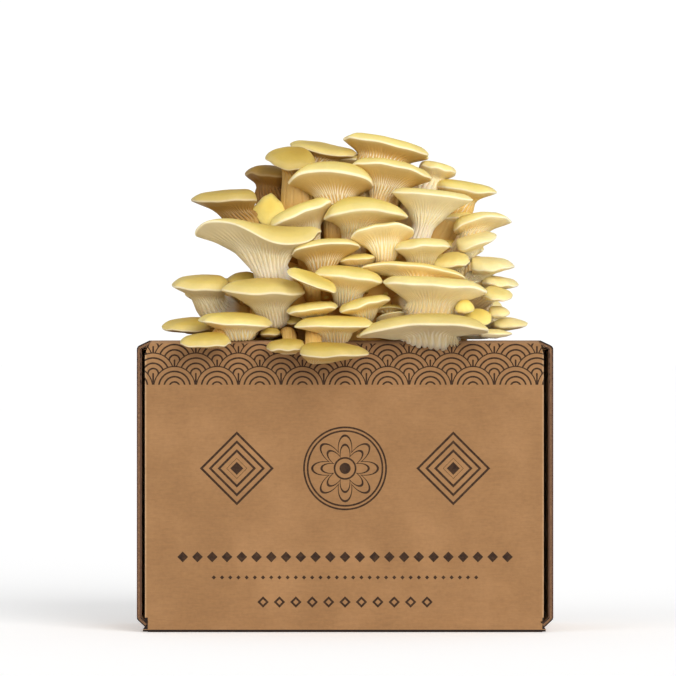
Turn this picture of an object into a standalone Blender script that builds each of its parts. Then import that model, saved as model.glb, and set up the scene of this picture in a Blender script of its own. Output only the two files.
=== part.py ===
"""Oyster mushroom grow kit: a folded carton with a cluster growing out of its top.

The carton stands on its long side. X runs to the right, Y away from the viewer and Z up.
The origin is the middle of the carton's footprint. Lengths below are in millimetres.
"""

import math
from dataclasses import dataclass

import bmesh
import bpy
from mathutils import Vector

MM = 0.001

# Carton, one sheet of single wall board folded round the block
CARTON_WIDTH = 254.0
CARTON_DEPTH = 102.0
CARTON_HEIGHT = 178.0
BOARD = 2.8
PANEL_LEFT = 122.3          # front panel's left edge, out from the middle
PANEL_RIGHT = 121.0
LID_HALF = 117.7            # the top panel stops short of the side walls' bent ends
CORNER_CUT = 5.4            # height of the cut corners of the front panel
TAB_RISE = 3.7              # the side walls bend inward and up at the top
TAB_RUN = 7.8
TAB_THICK = 2.0
TAB_CLEAR = 1.9             # dark slit between the bent ends and the front panel
FOOT_BEND = 5.6             # and inward at the bottom
FOOT_REACH = 8.0            # how far the bent foot runs under the block
FOOT_THICKENING = 1.3       # the fold is thicker than the board
FLAP_REACH = 86.0           # inner end of the flaps folded under the top panel
FLAP_HALF_DEPTH = 42.0
FLAP_HINGE = 5.0            # from the wall's outer face to where the flap is joined to the bent end
FLAP_TUCK = 1.5             # the flap's rise and fall at its hinge
PANEL_LAP = 7.0             # floor and back panel end this far inside the walls
BACK_LAP = 1.0
CREASE_DEPTH = 4.0          # the top panel's fold into the back panel
SLIT_PAST = 1.0             # cutters reach this far past the face that they cut
WINDOW_WIDTH = 162.0        # opening in the top panel that the cluster grows through
WINDOW_DEPTH = 68.0
WINDOW_ROUND = 26.0

# Block of grown-through substrate
BLOCK_WIDTH = 238.0
BLOCK_DEPTH = 92.0
BLOCK_GAP_BELOW = 0.3
BLOCK_TOP = 171.5

# Knot of fused stems that the mushrooms branch from
KNOT_HALF_WIDTH = 76.0
KNOT_HALF_DEPTH = 30.0
KNOT_RISE = 58.0            # above the top panel

GAP = 0.3                   # between pieces that touch
FLAT_ANGLE = 0.002          # radians between faces that count as one plane

# Points round each size of mushroom, and round the knot
ROUNDS = {"large": 12, "medium": 10, "small": 8}
KNOT_ROUNDS = 16
KNOT_LEVELS = 5

LIMB_ROUNDS = 8             # points round a stem that joins its cap from the side
LIMB_START = 0.4            # it starts at this share of the gills' depth
SHALLOW_GILLS = 8.0         # under caps with gills less deep than this,
LEVEL_STEM = 0.5            # a stem that falls less steeply than this joins from the side
STEM_START = 0.35           # share of the stem's run before it starts to bend, and after
STEM_END = 0.3
STEM_MARGIN = 1.5           # between the lowest stems and the top panel
FOOT_FLARE = 1.1            # a stem is this much wider at its foot
HOST_JOIN = 0.55            # share of the host's stem where a bud's stem branches off
OVER_BACK = 9.0             # stems of hanging caps pass this far behind them
OVER_RISE = 8.0             # and this far above the top panel
OVER_FOOT = 12.0            # their run straight out of the knot
SOFT_ANGLE = math.radians(70)   # sharper edges stay sharp when shaded


@dataclass
class Oyster:
    """One mushroom. Heights are over the carton's top, y is toward the back."""

    name: str
    left: tuple             # x, z of the cap's left end
    right: tuple            # x, z of its right end
    front: float            # y of the front margin
    depth: float            # margin to margin, front to back
    crown: float            # height of the top over the margin
    lift: float = 0.0       # front margin over the line between the ends
    droop: float = 0.0      # how far the ends hang under the middle
    gills: float = 12.0     # depth of the gills, margin to neck
    stem: float = 5.0       # radius of the neck
    side: float = 0.0       # where the stem stands: -1 left end, 1 right end
    back: float = 0.3       # -1 front margin, 1 back margin
    flat: float = 0.8       # the stem's depth over its width
    edge: float = 2.6       # thickness of the rolled margin
    wave: tuple = (0.0, 3, 0.0)     # height of the margin's waves, their count and phase
    size: str = "medium"
    foot: tuple = ()        # x, y, z near which the stem leaves the knot
    host: str = ""          # the mushroom whose stem this one branches from
    over: bool = False      # hangs over the carton's front edge


OYSTERS = [
    # Top
    Oyster("oyster_top_1", left=(0.5, 125.5), right=(51.5, 114.5), front=-14, depth=30, crown=6,
           lift=2.5, gills=15, side=0.05),
    Oyster("oyster_top_2", left=(-34, 122.5), right=(7.5, 116), front=-12, depth=22, crown=2, lift=-2.5,
           gills=10, stem=4, side=-0.1, back=0.2),
    Oyster("oyster_top_3", left=(-48.5, 115), right=(-19, 112), front=-27, depth=22, crown=5.5, lift=-4,
           gills=11, stem=4, side=-0.4, back=0.5, foot=(-24, -6, 52)),
    Oyster("oyster_top_4", left=(-34.8, 98.2), right=(17.7, 95.7), front=-32, depth=28, crown=6, lift=4,
           droop=4, gills=18, stem=6, side=0.16, back=0.5, flat=0.7, size="large"),
    Oyster("oyster_top_5", left=(4.3, 108.3), right=(53.5, 99.8), front=-27, depth=26, crown=5,
           lift=2.5, droop=2, gills=18, stem=5.5, side=-0.15, back=0.5, flat=0.7, size="large"),
    Oyster("oyster_top_6", left=(46, 109), right=(69, 104.5), front=-4, depth=24, crown=4, lift=1,
           stem=4.5, side=-0.3, back=0.2),
    Oyster("oyster_top_7", left=(57, 97), right=(94, 92.5), front=-9, depth=24, crown=4, lift=-1,
           gills=10, stem=4.5, side=-0.5, back=0.2),
    # Left
    Oyster("oyster_left_1", left=(-61.5, 104), right=(-34, 100.5), front=-4, depth=22, crown=7,
           lift=1, gills=13, side=0.3, back=0.2, foot=(-24, 4, 52)),
    Oyster("oyster_left_2", left=(-94.5, 87), right=(-58, 87.6), front=-28, depth=26, crown=6,
           lift=-0.5, gills=14, side=0.6),
    Oyster("oyster_left_3", left=(-57, 79), right=(-38.5, 79), front=-15, depth=26, crown=3, lift=-11,
           gills=5, stem=3.5, back=0.2, size="small"),
    Oyster("oyster_left_4", left=(-46, 69), right=(-8, 85), front=-38, depth=24, crown=8, lift=2,
           gills=15, stem=5.5, side=-0.1, back=0.8, flat=0.7, size="large"),
    Oyster("oyster_left_5", left=(-91.5, 70), right=(-15.9, 62.6), front=-57, depth=30, crown=5,
           gills=20, stem=8, side=0.25, back=0.2, wave=(-5, 3, -15.54), size="large",
           foot=(-42, -20, 34)),
    Oyster("oyster_left_6", left=(-106.1, 34.8), right=(-71.3, 32.9), front=-42, depth=28, crown=6.5,
           lift=-2, gills=14, stem=7.5, side=0.55, back=0.2, foot=(-69, -10, 17)),
    Oyster("oyster_left_7", left=(-75, 31.7), right=(-25, 29.9), front=-65, depth=30, crown=7,
           lift=-1.5, gills=17, stem=6.5, side=0.3, back=0.5, size="large", foot=(-44, -22, 16)),
    Oyster("oyster_left_8", left=(-73.8, 36), right=(-53, 36), front=-29, depth=20, crown=6.5, gills=8,
           stem=4, side=0.3, back=0, size="small", foot=(-62, -8, 28)),
    Oyster("oyster_left_9", left=(-112.2, 9.1), right=(-83, 8.4), front=-44, depth=28, crown=5, lift=-2,
           gills=5, stem=4, side=0.6, flat=0.6, foot=(-74, -4, 5)),
    Oyster("oyster_left_10", left=(-89, 12.8), right=(-45, 9.8), front=-69, depth=26, crown=5.5,
           lift=-1, gills=6, stem=6, side=0.15, back=0.6, flat=0.6, foot=(-57, -20, 8)),
    Oyster("oyster_left_11", left=(-100, -0.6), right=(-70.1, -0.6), front=-77, depth=20, crown=5,
           lift=-2, gills=4, stem=3, side=0.5, foot=(-66, -15, 5), over=True),
    Oyster("oyster_left_12", left=(-98.2, 29.3), right=(-88.5, 26.5), front=-28, depth=9, crown=3,
           lift=-1, gills=3, stem=2.5, side=0.4, back=0, edge=1.8, size="small", host="oyster_left_6"),
    Oyster("oyster_left_13", left=(-52, 4.6), right=(-39, 4.6), front=-50, depth=16, crown=3.5, gills=3,
           stem=3, back=0.5, flat=0.6, size="small", foot=(-47, -23, 5)),
    # Middle
    Oyster("oyster_mid_1", left=(-12, 75.4), right=(37.8, 76), front=-46, depth=27, crown=8, droop=5,
           gills=17, stem=5.5, side=-0.3, back=0.7, flat=0.7, size="large"),
    Oyster("oyster_mid_2", left=(-32.9, 53.4), right=(8.5, 58), front=-55, depth=24, crown=4.5, lift=2,
           droop=2.3, gills=14, side=-0.15, back=0.8),
    Oyster("oyster_mid_3", left=(3.7, 62.5), right=(42.1, 66.5), front=-50, depth=22, crown=4, lift=5,
           droop=2, gills=11, back=0.9, foot=(20, -17, 46)),
    Oyster("oyster_mid_4", left=(30, 56.7), right=(64, 58.5), front=-54, depth=26, crown=5.5, lift=0.5,
           side=-0.05, back=0.9, foot=(48, -12, 39)),
    Oyster("oyster_mid_5", left=(-5, 48.5), right=(18.5, 50.8), front=-44, depth=16, crown=3.5, lift=1,
           gills=7, stem=4, side=0.1, back=0.6, size="small", foot=(12, -22, 38)),
    Oyster("oyster_mid_6", left=(11, 45), right=(73.8, 38.5), front=-51, depth=16, crown=2.5, lift=2,
           droop=3, gills=9, side=0.1, back=0.9, foot=(38, -19, 36)),
    Oyster("oyster_mid_7", left=(-18.9, 41.5), right=(22.6, 36.6), front=-63, depth=25, crown=6.5,
           gills=15, stem=6, side=0.05, back=0.8, flat=0.7, size="large", foot=(0, -25, 32)),
    Oyster("oyster_mid_8", left=(-34.8, 43), right=(-5, 31), front=-74, depth=18, crown=2, lift=-2.7,
           gills=7, stem=4, back=0.95, foot=(-20, -26, 26)),
    Oyster("oyster_mid_9", left=(-35.4, 17.7), right=(-5, 21.3), front=-67, depth=22, crown=4, gills=7,
           stem=4, back=0.8, foot=(-22, -26.5, 16)),
    Oyster("oyster_mid_10", left=(-4, 18.3), right=(26.8, 26.2), front=-69, depth=22, crown=4, gills=8,
           stem=4, side=-0.1, back=0.8, foot=(9, -28, 18)),
    Oyster("oyster_mid_11", left=(14.5, 17.5), right=(39, 18.3), front=-44, depth=12, crown=1.2,
           droop=3, gills=4, stem=3, back=0.5, edge=1.6, size="small", host="oyster_mid_12"),
    Oyster("oyster_mid_12", left=(19, 12.8), right=(38.4, 15.9), front=-47, depth=14, crown=2, lift=3,
           gills=6, stem=4, side=-0.2, back=0.8, edge=1.8, size="small", foot=(25, -28, 8)),
    Oyster("oyster_mid_13", left=(-29.9, 9.8), right=(17, 10.4), front=-78, depth=27, crown=4.5,
           lift=-1.2, gills=6, stem=7, back=0.5, flat=0.5, size="large", foot=(-4, -29, 9)),
    Oyster("oyster_mid_14", left=(-37, 11.5), right=(-25, 11.1), front=-44, depth=14, crown=4, gills=3,
           stem=3, back=0.4, size="small", foot=(-30, -25, 16)),
    Oyster("oyster_front_1", left=(-47.6, -3.7), right=(-24, -3), front=-75, depth=19, crown=4,
           lift=-1.5, gills=4, stem=3, side=0.2, foot=(-34, -26.5, 4), over=True),
    Oyster("oyster_front_2", left=(-27.4, -6.7), right=(13.4, -6.7), front=-87, depth=25, crown=5,
           lift=-2, gills=6, stem=3.5, side=-0.6, foot=(-17, -28, 6), over=True),
    # Right
    Oyster("oyster_right_1", left=(29.9, 92), right=(78.7, 87.1), front=-38, depth=27, crown=3.5,
           lift=0.5, gills=20, stem=4.8, side=-0.17, back=0.5, flat=0.9, size="large"),
    Oyster("oyster_right_2", left=(67.1, 67.9), right=(102.4, 74), front=-28, depth=26, crown=5, lift=2,
           droop=3.5, gills=10, stem=4.5, side=-0.6, foot=(54, 6, 39)),
    Oyster("oyster_right_3", left=(54, 48), right=(76.2, 50), front=-41, depth=18, crown=3.5, lift=-3,
           gills=8, stem=4, side=0.2, back=0.6, foot=(58, -14, 25)),
    Oyster("oyster_right_4", left=(77.5, 45.5), right=(103.7, 46.8), front=-40, depth=26, crown=5,
           lift=-2, gills=8, stem=4, side=-0.9, foot=(66, -7, 24)),
    Oyster("oyster_right_5", left=(68.9, 57.3), right=(93, 65.5), front=-36, depth=20, crown=4, lift=-2,
           gills=8, stem=3.5, side=-0.8, back=0.4, foot=(56, -8, 36)),
    Oyster("oyster_right_6", left=(23.2, 35.3), right=(86.6, 30.4), front=-72, depth=29, crown=6.5,
           lift=1.5, gills=16, stem=12, side=-0.06, back=0.9, flat=0.5, size="large",
           foot=(44, -21, 20)),
    Oyster("oyster_right_7", left=(8, 3), right=(86.6, 6), front=-84, depth=34, crown=8.5, lift=1.5,
           droop=4.5, gills=3, stem=9, side=0.1, back=0.85, flat=0.4, size="large", foot=(44, -24, 5)),
    Oyster("oyster_right_8", left=(67.7, 19.5), right=(76.2, 19.5), front=-62, depth=9, crown=4,
           lift=-2, gills=3, stem=2.2, back=0.2, edge=1.8, size="small", host="oyster_right_6"),
    Oyster("oyster_right_9", left=(84.5, 36.8), right=(106.5, 34.8), front=-36, depth=24, crown=3.5,
           lift=-1, gills=7, stem=4, side=-0.6, back=0.2, foot=(73, 3, 14)),
    Oyster("oyster_right_10", left=(84, 28.5), right=(102.4, 27.5), front=-52, depth=21, crown=4,
           lift=-2, gills=5, stem=3.5, side=-0.5, back=0.5, foot=(68, -11, 14)),
    Oyster("oyster_right_11", left=(72.5, 14.5), right=(89.6, 14.5), front=-53, depth=16, crown=3,
           lift=-4.5, gills=4, stem=3, back=0.2, size="small", foot=(60, -17, 12)),
    Oyster("oyster_right_12", left=(87.5, 17.5), right=(101, 17.5), front=-46, depth=15, crown=3.5,
           lift=-1.5, gills=4, stem=3, side=-0.5, back=0, size="small", foot=(68, -13, 5)),
    Oyster("oyster_right_13", left=(89.5, 10.6), right=(112, 10.6), front=-40, depth=20, crown=3.5,
           lift=-1.5, gills=4, stem=3, side=-0.6, back=0, flat=0.6, size="small", foot=(74, -4, 5)),
    Oyster("oyster_right_14", left=(82.3, 4.6), right=(102.4, 4.4), front=-56, depth=19, crown=2.5,
           gills=2.9, stem=2, side=-0.6, back=0.4, flat=0.6, edge=2, size="small", foot=(61, -18, 3)),
    # Back
    Oyster("oyster_back_1", left=(-46, 93), right=(1, 97), front=11, depth=43, crown=7, lift=3,
           droop=2, gills=19, stem=7, side=0.2, back=-0.3, size="large"),
    Oyster("oyster_back_2", left=(5, 98), right=(56, 89), front=10, depth=42, crown=8, lift=3,
           gills=20, stem=7.5, side=-0.1, back=-0.4, size="large"),
    Oyster("oyster_back_3", left=(-86, 68), right=(-40, 70), front=12, depth=42, crown=6, lift=2,
           gills=14, stem=6.5, side=0.5, back=-0.3),
    Oyster("oyster_back_4", left=(-38, 64), right=(16, 61), front=28, depth=44, crown=7, lift=3,
           droop=2, gills=19, stem=8, back=-0.4, size="large", foot=(-10, 22, 36)),
    Oyster("oyster_back_5", left=(20, 58), right=(72, 63), front=22, depth=44, crown=8, lift=2,
           gills=16, stem=7.5, side=-0.1, back=-0.4),
    Oyster("oyster_back_6", left=(62, 49), right=(100, 45), front=6, depth=40, crown=6, lift=1,
           gills=12, stem=6, side=-0.4, back=-0.2, foot=(61, 8, 28)),
    Oyster("oyster_back_7", left=(-93, 34), right=(-50, 30), front=8, depth=46, crown=7, lift=1,
           gills=14, stem=7.5, side=0.5, back=-0.2),
    Oyster("oyster_back_8", left=(-56, 24), right=(0, 29), front=32, depth=47, crown=9, lift=3,
           gills=15, stem=9, back=-0.5),
    Oyster("oyster_back_9", left=(4, 30), right=(58, 23), front=30, depth=46, crown=7, lift=2,
           gills=14, stem=8, side=-0.1, back=-0.5),
    Oyster("oyster_back_10", left=(52, 17), right=(99, 22), front=10, depth=44, crown=7, lift=1,
           gills=9, stem=6, side=0, back=-0.1, foot=(67, 9, 8)),
]


def add_material(name, colour, roughness):
    """Matte surface of one colour."""
    material = bpy.data.materials.new(name)
    material.use_nodes = True
    shader = material.node_tree.nodes["Principled BSDF"]
    shader.inputs["Base Color"].default_value = (*colour, 1.0)
    shader.inputs["Roughness"].default_value = roughness
    shader.inputs["Metallic"].default_value = 0.0
    material.diffuse_color = (*colour, 1.0)
    return material


def add_object(name, bm, material):
    """Turn a bmesh in millimetres into an object in metres."""
    bmesh.ops.scale(bm, vec=(MM, MM, MM), verts=bm.verts)
    bmesh.ops.recalc_face_normals(bm, faces=bm.faces)
    mesh = bpy.data.meshes.new(name)
    bm.to_mesh(mesh)
    bm.free()
    mesh.materials.append(material)
    obj = bpy.data.objects.new(name, mesh)
    bpy.context.scene.collection.objects.link(obj)
    return obj


def combine(target, tool, operation, crossing=False):
    """Apply one exact boolean and drop the tool. Crossing skins are cleaned as well."""
    modifier = target.modifiers.new(operation.title(), "BOOLEAN")
    modifier.operation = operation
    modifier.solver = "EXACT"
    modifier.use_self = crossing
    modifier.object = tool
    bpy.context.view_layer.objects.active = target
    bpy.ops.object.modifier_apply(modifier=modifier.name)
    bpy.data.objects.remove(tool)


def join_flat_faces(obj):
    """Make one face of those in one plane, and drop the points between them."""
    bm = bmesh.new()
    bm.from_mesh(obj.data)
    bmesh.ops.dissolve_limit(bm, angle_limit=FLAT_ANGLE, verts=bm.verts, edges=bm.edges)
    bm.to_mesh(obj.data)
    bm.free()


def shade_round(obj):
    """Shade the skin smooth, except over sharp edges."""
    obj.data.shade_smooth()
    obj.data.set_sharp_from_angle(angle=SOFT_ANGLE)


def prism(outline, start, end, along="y"):
    """Extrude an outline from start to end. It lies in x-z, or in x-y for along="z"."""
    bm = bmesh.new()
    if along == "y":
        corners = [bm.verts.new((x, start, z)) for x, z in outline]
        shift = (0, end - start, 0)
    else:
        corners = [bm.verts.new((x, y, start)) for x, y in outline]
        shift = (0, 0, end - start)
    face = bm.faces.new(corners)
    grown = bmesh.ops.extrude_face_region(bm, geom=[face])
    moved = [item for item in grown["geom"] if isinstance(item, bmesh.types.BMVert)]
    bmesh.ops.translate(bm, vec=shift, verts=moved)
    return bm


def rectangle(left, right, low, high):
    return [(left, low), (right, low), (right, high), (left, high)]


def side_wall_outline():
    """Left wall in section, with both ends bent inward."""
    out = -CARTON_WIDTH / 2
    inside = out + BOARD
    top = CARTON_HEIGHT
    length = math.hypot(TAB_RUN, TAB_RISE)
    under_x = TAB_THICK * TAB_RISE / length
    under_z = TAB_THICK * TAB_RUN / length
    tip = out + TAB_RUN
    inner_corner = top - under_z - (tip + under_x - inside) * TAB_RISE / TAB_RUN
    bend = FOOT_BEND + FOOT_THICKENING
    return [(out + FOOT_BEND, 0), (out, FOOT_BEND), (out, top - TAB_RISE), (tip, top),
            (tip + under_x, top - under_z), (inside, inner_corner), (inside, bend),
            (out + bend, BOARD), (out + FOOT_REACH, BOARD), (out + FOOT_REACH, 0)]


def flap_outline():
    """Flap folded under the top panel, from the bent end inward."""
    out = -CARTON_WIDTH / 2
    high = CARTON_HEIGHT - BOARD - GAP
    low = high - BOARD
    start = out + BOARD - GAP
    hinge = out + FLAP_HINGE
    return [(start, low), (-FLAP_REACH, low), (-FLAP_REACH, high), (hinge + FLAP_TUCK, high),
            (hinge, high + FLAP_TUCK / 2), (start, high - FLAP_TUCK / 2)]


def front_panel_outline(grow=0.0):
    """Front panel with cut corners, or the clear space round it."""
    top = CARTON_HEIGHT
    low = top - CORNER_CUT
    left = -PANEL_LEFT - grow
    right = PANEL_RIGHT + grow
    return [(left, 0), (right, 0), (right, low), (LID_HALF, top), (-LID_HALF, top), (left, low)]


def rounded_rectangle(width, depth, radius, steps=4):
    points = []
    for corner in range(4):
        turn = corner * math.pi / 2
        x_sign = 1 if corner in (0, 3) else -1
        y_sign = 1 if corner < 2 else -1
        centre_x = x_sign * (width / 2 - radius)
        centre_y = y_sign * (depth / 2 - radius)
        for step in range(steps + 1):
            angle = turn + step * math.pi / 2 / steps
            points.append((centre_x + radius * math.cos(angle), centre_y + radius * math.sin(angle)))
    return points


def build_carton():
    kraft = add_material("kraft_board", (0.39, 0.21, 0.10), 0.85)
    half_depth = CARTON_DEPTH / 2
    half_width = CARTON_WIDTH / 2
    top = CARTON_HEIGHT
    behind_panel = -half_depth + BOARD + GAP

    carton = add_object("carton", prism(side_wall_outline(), -half_depth, half_depth), kraft)
    mirrored = [(-x, z) for x, z in side_wall_outline()]
    solids = [prism(mirrored, -half_depth, half_depth)]
    floor = rectangle(-half_width + PANEL_LAP, half_width - PANEL_LAP, 0, BOARD)
    solids.append(prism(floor, behind_panel, half_depth))
    back = rectangle(-half_width + BACK_LAP, half_width - BACK_LAP, BOARD / 2, top - BOARD - GAP)
    solids.append(prism(back, half_depth - BOARD, half_depth))
    solids.append(prism(flap_outline(), -FLAP_HALF_DEPTH, FLAP_HALF_DEPTH))
    solids.append(prism([(-x, z) for x, z in flap_outline()], -FLAP_HALF_DEPTH, FLAP_HALF_DEPTH))
    for solid in solids:
        combine(carton, add_object("fold", solid, kraft), "UNION")

    clear = prism(front_panel_outline(TAB_CLEAR), -half_depth - SLIT_PAST, behind_panel)
    slit = add_object("slit", clear, kraft)
    combine(carton, slit, "DIFFERENCE")

    lid = prism(rectangle(-LID_HALF, LID_HALF, top - BOARD, top), -half_depth, half_depth)
    combine(carton, add_object("lid", lid, kraft), "UNION")
    rise = prism(rectangle(-LID_HALF, LID_HALF, top - BOARD - CREASE_DEPTH, top),
                 half_depth - BOARD, half_depth)
    combine(carton, add_object("crease", rise, kraft), "UNION")
    panel = prism(front_panel_outline(), -half_depth, -half_depth + BOARD)
    combine(carton, add_object("panel", panel, kraft), "UNION")

    outline = rounded_rectangle(WINDOW_WIDTH, WINDOW_DEPTH, WINDOW_ROUND)
    hole = prism(outline, top - BOARD - SLIT_PAST, top + SLIT_PAST, along="z")
    window = add_object("window", hole, kraft)
    combine(carton, window, "DIFFERENCE")
    join_flat_faces(carton)
    return carton


def build_block():
    substrate = add_material("substrate", (0.35, 0.22, 0.12), 0.9)
    half = BLOCK_WIDTH / 2
    outline = rectangle(-half, half, BOARD + BLOCK_GAP_BELOW, BLOCK_TOP)
    return add_object("substrate_block", prism(outline, -BLOCK_DEPTH / 2, BLOCK_DEPTH / 2), substrate)


def build_knot(flesh):
    """Dome of fused stems, standing on the block and rising through the window."""
    base = BLOCK_TOP + GAP
    levels = [(1.0, base), (1.0, CARTON_HEIGHT)]
    for level in range(1, KNOT_LEVELS):
        lean = level * math.pi / 2 / KNOT_LEVELS
        levels.append((math.cos(lean), CARTON_HEIGHT + KNOT_RISE * math.sin(lean)))
    rings = []
    for scale, z in levels:
        ring = []
        for angle in turn_angles(KNOT_ROUNDS):
            x = KNOT_HALF_WIDTH * scale * math.cos(angle)
            y = KNOT_HALF_DEPTH * scale * math.sin(angle)
            ring.append(Vector((x, y, z)))
        rings.append(ring)
    top = Vector((0, 0, CARTON_HEIGHT + KNOT_RISE))
    knot = add_object("stem_knot", skin_rings(rings, Vector((0, 0, base)), top), flesh)
    shade_round(knot)
    return knot


def turn_angles(count):
    return [step * 2 * math.pi / count for step in range(count)]


def skin_rings(rings, start, end):
    """Skin over rings of points, with a fan at both ends."""
    bm = bmesh.new()
    first = bm.verts.new(start)
    last = bm.verts.new(end)
    loops = [[bm.verts.new(spot) for spot in ring] for ring in rings]
    count = len(rings[0])
    for step in range(count):
        after = (step + 1) % count
        bm.faces.new((first, loops[0][after], loops[0][step]))
        for low, high in zip(loops, loops[1:]):
            bm.faces.new((low[step], low[after], high[after], high[step]))
        bm.faces.new((last, loops[-1][step], loops[-1][after]))
    return bm


def on_knot(point):
    """Move a point along its ray from the knot's middle to just off the knot."""
    middle = Vector((0, 0, CARTON_HEIGHT))
    local = point - middle
    reach = Vector((local.x / (KNOT_HALF_WIDTH + GAP), local.y / (KNOT_HALF_DEPTH + GAP),
                    local.z / (KNOT_RISE + GAP))).length
    return middle + local / reach


def off_knot(point):
    """Direction straight out of the knot at a point on it."""
    local = point - Vector((0, 0, CARTON_HEIGHT))
    return Vector((local.x / KNOT_HALF_WIDTH ** 2, local.y / KNOT_HALF_DEPTH ** 2,
                   local.z / KNOT_RISE ** 2)).normalized()


def clear_of_panel(point):
    """Raise a point that would lie in the top panel."""
    if point.y > -CARTON_DEPTH / 2 - GAP:
        point.z = max(point.z, CARTON_HEIGHT + 2 * GAP)
    return point


class Cap:
    """Frame of one cap: its middle, its axes and the height of its margin."""

    squareness = 2.4

    def __init__(self, row):
        left = Vector((row.left[0], 0, row.left[1] + CARTON_HEIGHT))
        right = Vector((row.right[0], 0, row.right[1] + CARTON_HEIGHT))
        self.row = row
        self.half_width = (right - left).length / 2
        self.half_depth = row.depth / 2
        self.across = (right - left).normalized()
        tilt = math.asin(row.lift / self.half_depth)
        inward = Vector((0, math.cos(tilt), -math.sin(tilt)))
        self.inward = (inward - self.across * inward.dot(self.across)).normalized()
        self.up = self.across.cross(self.inward)
        self.middle = (left + right) / 2
        self.middle.y = row.front + self.half_depth * math.cos(tilt)
        self.offset = (self.across * row.side * self.half_width
                       + self.inward * row.back * self.half_depth)

    def point(self, angle, spread, height):
        """Point on a ring; spread is 0 over the stem and 1 on the margin."""
        across = math.cos(angle)
        inward = math.sin(angle)
        power = self.squareness
        reach = spread * (abs(across) ** power + abs(inward) ** power) ** (-1 / power)
        size, count, phase = self.row.wave
        wave = size * math.cos(count * angle + phase) * spread ** 2
        arch = self.row.droop * (1 - (spread * across) ** 2)
        return (self.middle + self.offset * (1 - spread)
                + self.across * reach * across * self.half_width
                + self.inward * reach * inward * self.half_depth
                + self.up * (height + wave + arch))


def cap_levels(row):
    """Spread and height of each ring, from near the crown down to the gills."""
    crown = row.crown
    low = -row.edge
    fall = row.gills - row.edge
    if row.size == "small":
        return [(0.62, 0.65 * crown), (1.0, 0), (0.9, low)]
    if row.size == "medium":
        return [(0.52, 0.78 * crown), (0.88, 0.28 * crown), (1.0, 0), (0.92, low),
                (0.5, low - 0.25 * fall)]
    return [(0.5, 0.8 * crown), (0.86, 0.32 * crown), (1.0, 0), (0.93, low),
            (0.58, low - 0.16 * fall), (0.32, low - 0.5 * fall)]


class Stem:
    """Curve from the neck under the gills down to the knot, or to a neighbour's stem."""

    def __init__(self, row, cap, host):
        self.row = row
        self.cap = cap
        neck = cap.middle + cap.offset - cap.up * (row.gills - row.droop)
        if host:
            foot = host.spot(HOST_JOIN)
            out = (neck - foot).normalized()
        else:
            foot = self.find_foot(neck)
            out = off_knot(foot)
        span = (foot - neck).length
        toward = (foot - neck).normalized()
        shallow = row.gills < SHALLOW_GILLS and toward.dot(cap.up) > -LEVEL_STEM
        self.sideways = row.over or shallow
        if row.over:
            start = cap.middle + cap.offset
            over_edge = Vector((start.x, start.y + OVER_BACK, CARTON_HEIGHT + OVER_RISE))
            self.curve = [start, over_edge, foot + out * OVER_FOOT, foot]
        elif self.sideways:
            start = cap.middle + cap.offset + cap.up * (row.droop - LIMB_START * row.gills)
            toward = (foot - start).normalized()
            self.curve = [start, start + toward * span * STEM_START, foot + out * span * STEM_END, foot]
        else:
            level = math.hypot(toward.x, toward.y)
            down = (toward * (0.3 + 0.5 * level) - cap.up * (0.7 - 0.5 * level)).normalized()
            self.curve = [neck, neck + down * span * STEM_START, foot + out * span * STEM_END, foot]

    def find_foot(self, neck):
        top = Vector((0, 0, CARTON_HEIGHT))
        if self.row.foot:
            return on_knot(top + Vector(self.row.foot))
        foot = on_knot(neck.lerp(top + Vector((neck.x / 2, 0, 0)), 0.3))
        foot.z = max(foot.z, CARTON_HEIGHT + self.row.stem * self.row.flat + STEM_MARGIN)
        return on_knot(foot)

    def spot(self, along):
        a, b, c, d = self.curve
        left = 1 - along
        return (a * left ** 3 + b * 3 * left ** 2 * along + c * 3 * left * along ** 2 + d * along ** 3)

    def heading(self, along):
        a, b, c, d = self.curve
        left = 1 - along
        return ((b - a) * left ** 2 + (c - b) * 2 * left * along + (d - c) * along ** 2).normalized()

    def ring(self, along, angles, scale=1.0):
        heading = self.heading(along)
        turn = (-self.cap.up).rotation_difference(heading)
        broad = turn @ self.cap.across * self.row.stem * scale
        deep = turn @ self.cap.inward * self.row.stem * self.row.flat * scale
        middle = self.spot(along)
        return [middle + broad * math.cos(angle) + deep * math.sin(angle) for angle in angles]


def stem_rings(stem, row, angles, inner):
    """Rings down a stem, the last one on the knot or inside the host's stem."""
    rings = [[clear_of_panel(spot) for spot in stem.ring(along, angles)] for along in inner]
    foot_ring = [clear_of_panel(spot) for spot in stem.ring(1, angles, FOOT_FLARE)]
    if not row.host:
        foot_ring = [on_knot(spot) for spot in foot_ring]
    return rings + [foot_ring]


def build_oyster(row, stems, flesh):
    """Cap, gills and stem in one skin, from the crown down to the foot."""
    cap = Cap(row)
    stem = Stem(row, cap, stems.get(row.host))
    stems[row.name] = stem
    angles = turn_angles(ROUNDS[row.size])
    rings = [[cap.point(angle, spread, height) for angle in angles] for spread, height in cap_levels(row)]
    crown = cap.point(0, 0, row.crown)
    if stem.sideways:
        rings = [[clear_of_panel(spot) for spot in ring] for ring in rings]
        hollow = clear_of_panel(cap.point(0, 0, -row.gills))
        oyster = add_object(row.name, skin_rings(rings, crown, hollow), flesh)
        tube = stem_rings(stem, row, turn_angles(LIMB_ROUNDS), (0, 0.3) if row.over else (0,))
        limb = add_object("limb", skin_rings(tube, clear_of_panel(stem.spot(0)), stem.spot(1)), flesh)
        combine(oyster, limb, "UNION", crossing=True)
    else:
        rings += stem_rings(stem, row, angles, (0, 0.5) if row.size == "large" else (0,))
        rings = [[clear_of_panel(spot) for spot in ring] for ring in rings]
        oyster = add_object(row.name, skin_rings(rings, crown, stem.spot(1)), flesh)
    if row.host:
        combine(bpy.data.objects[row.host], oyster, "UNION", crossing=True)


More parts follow.
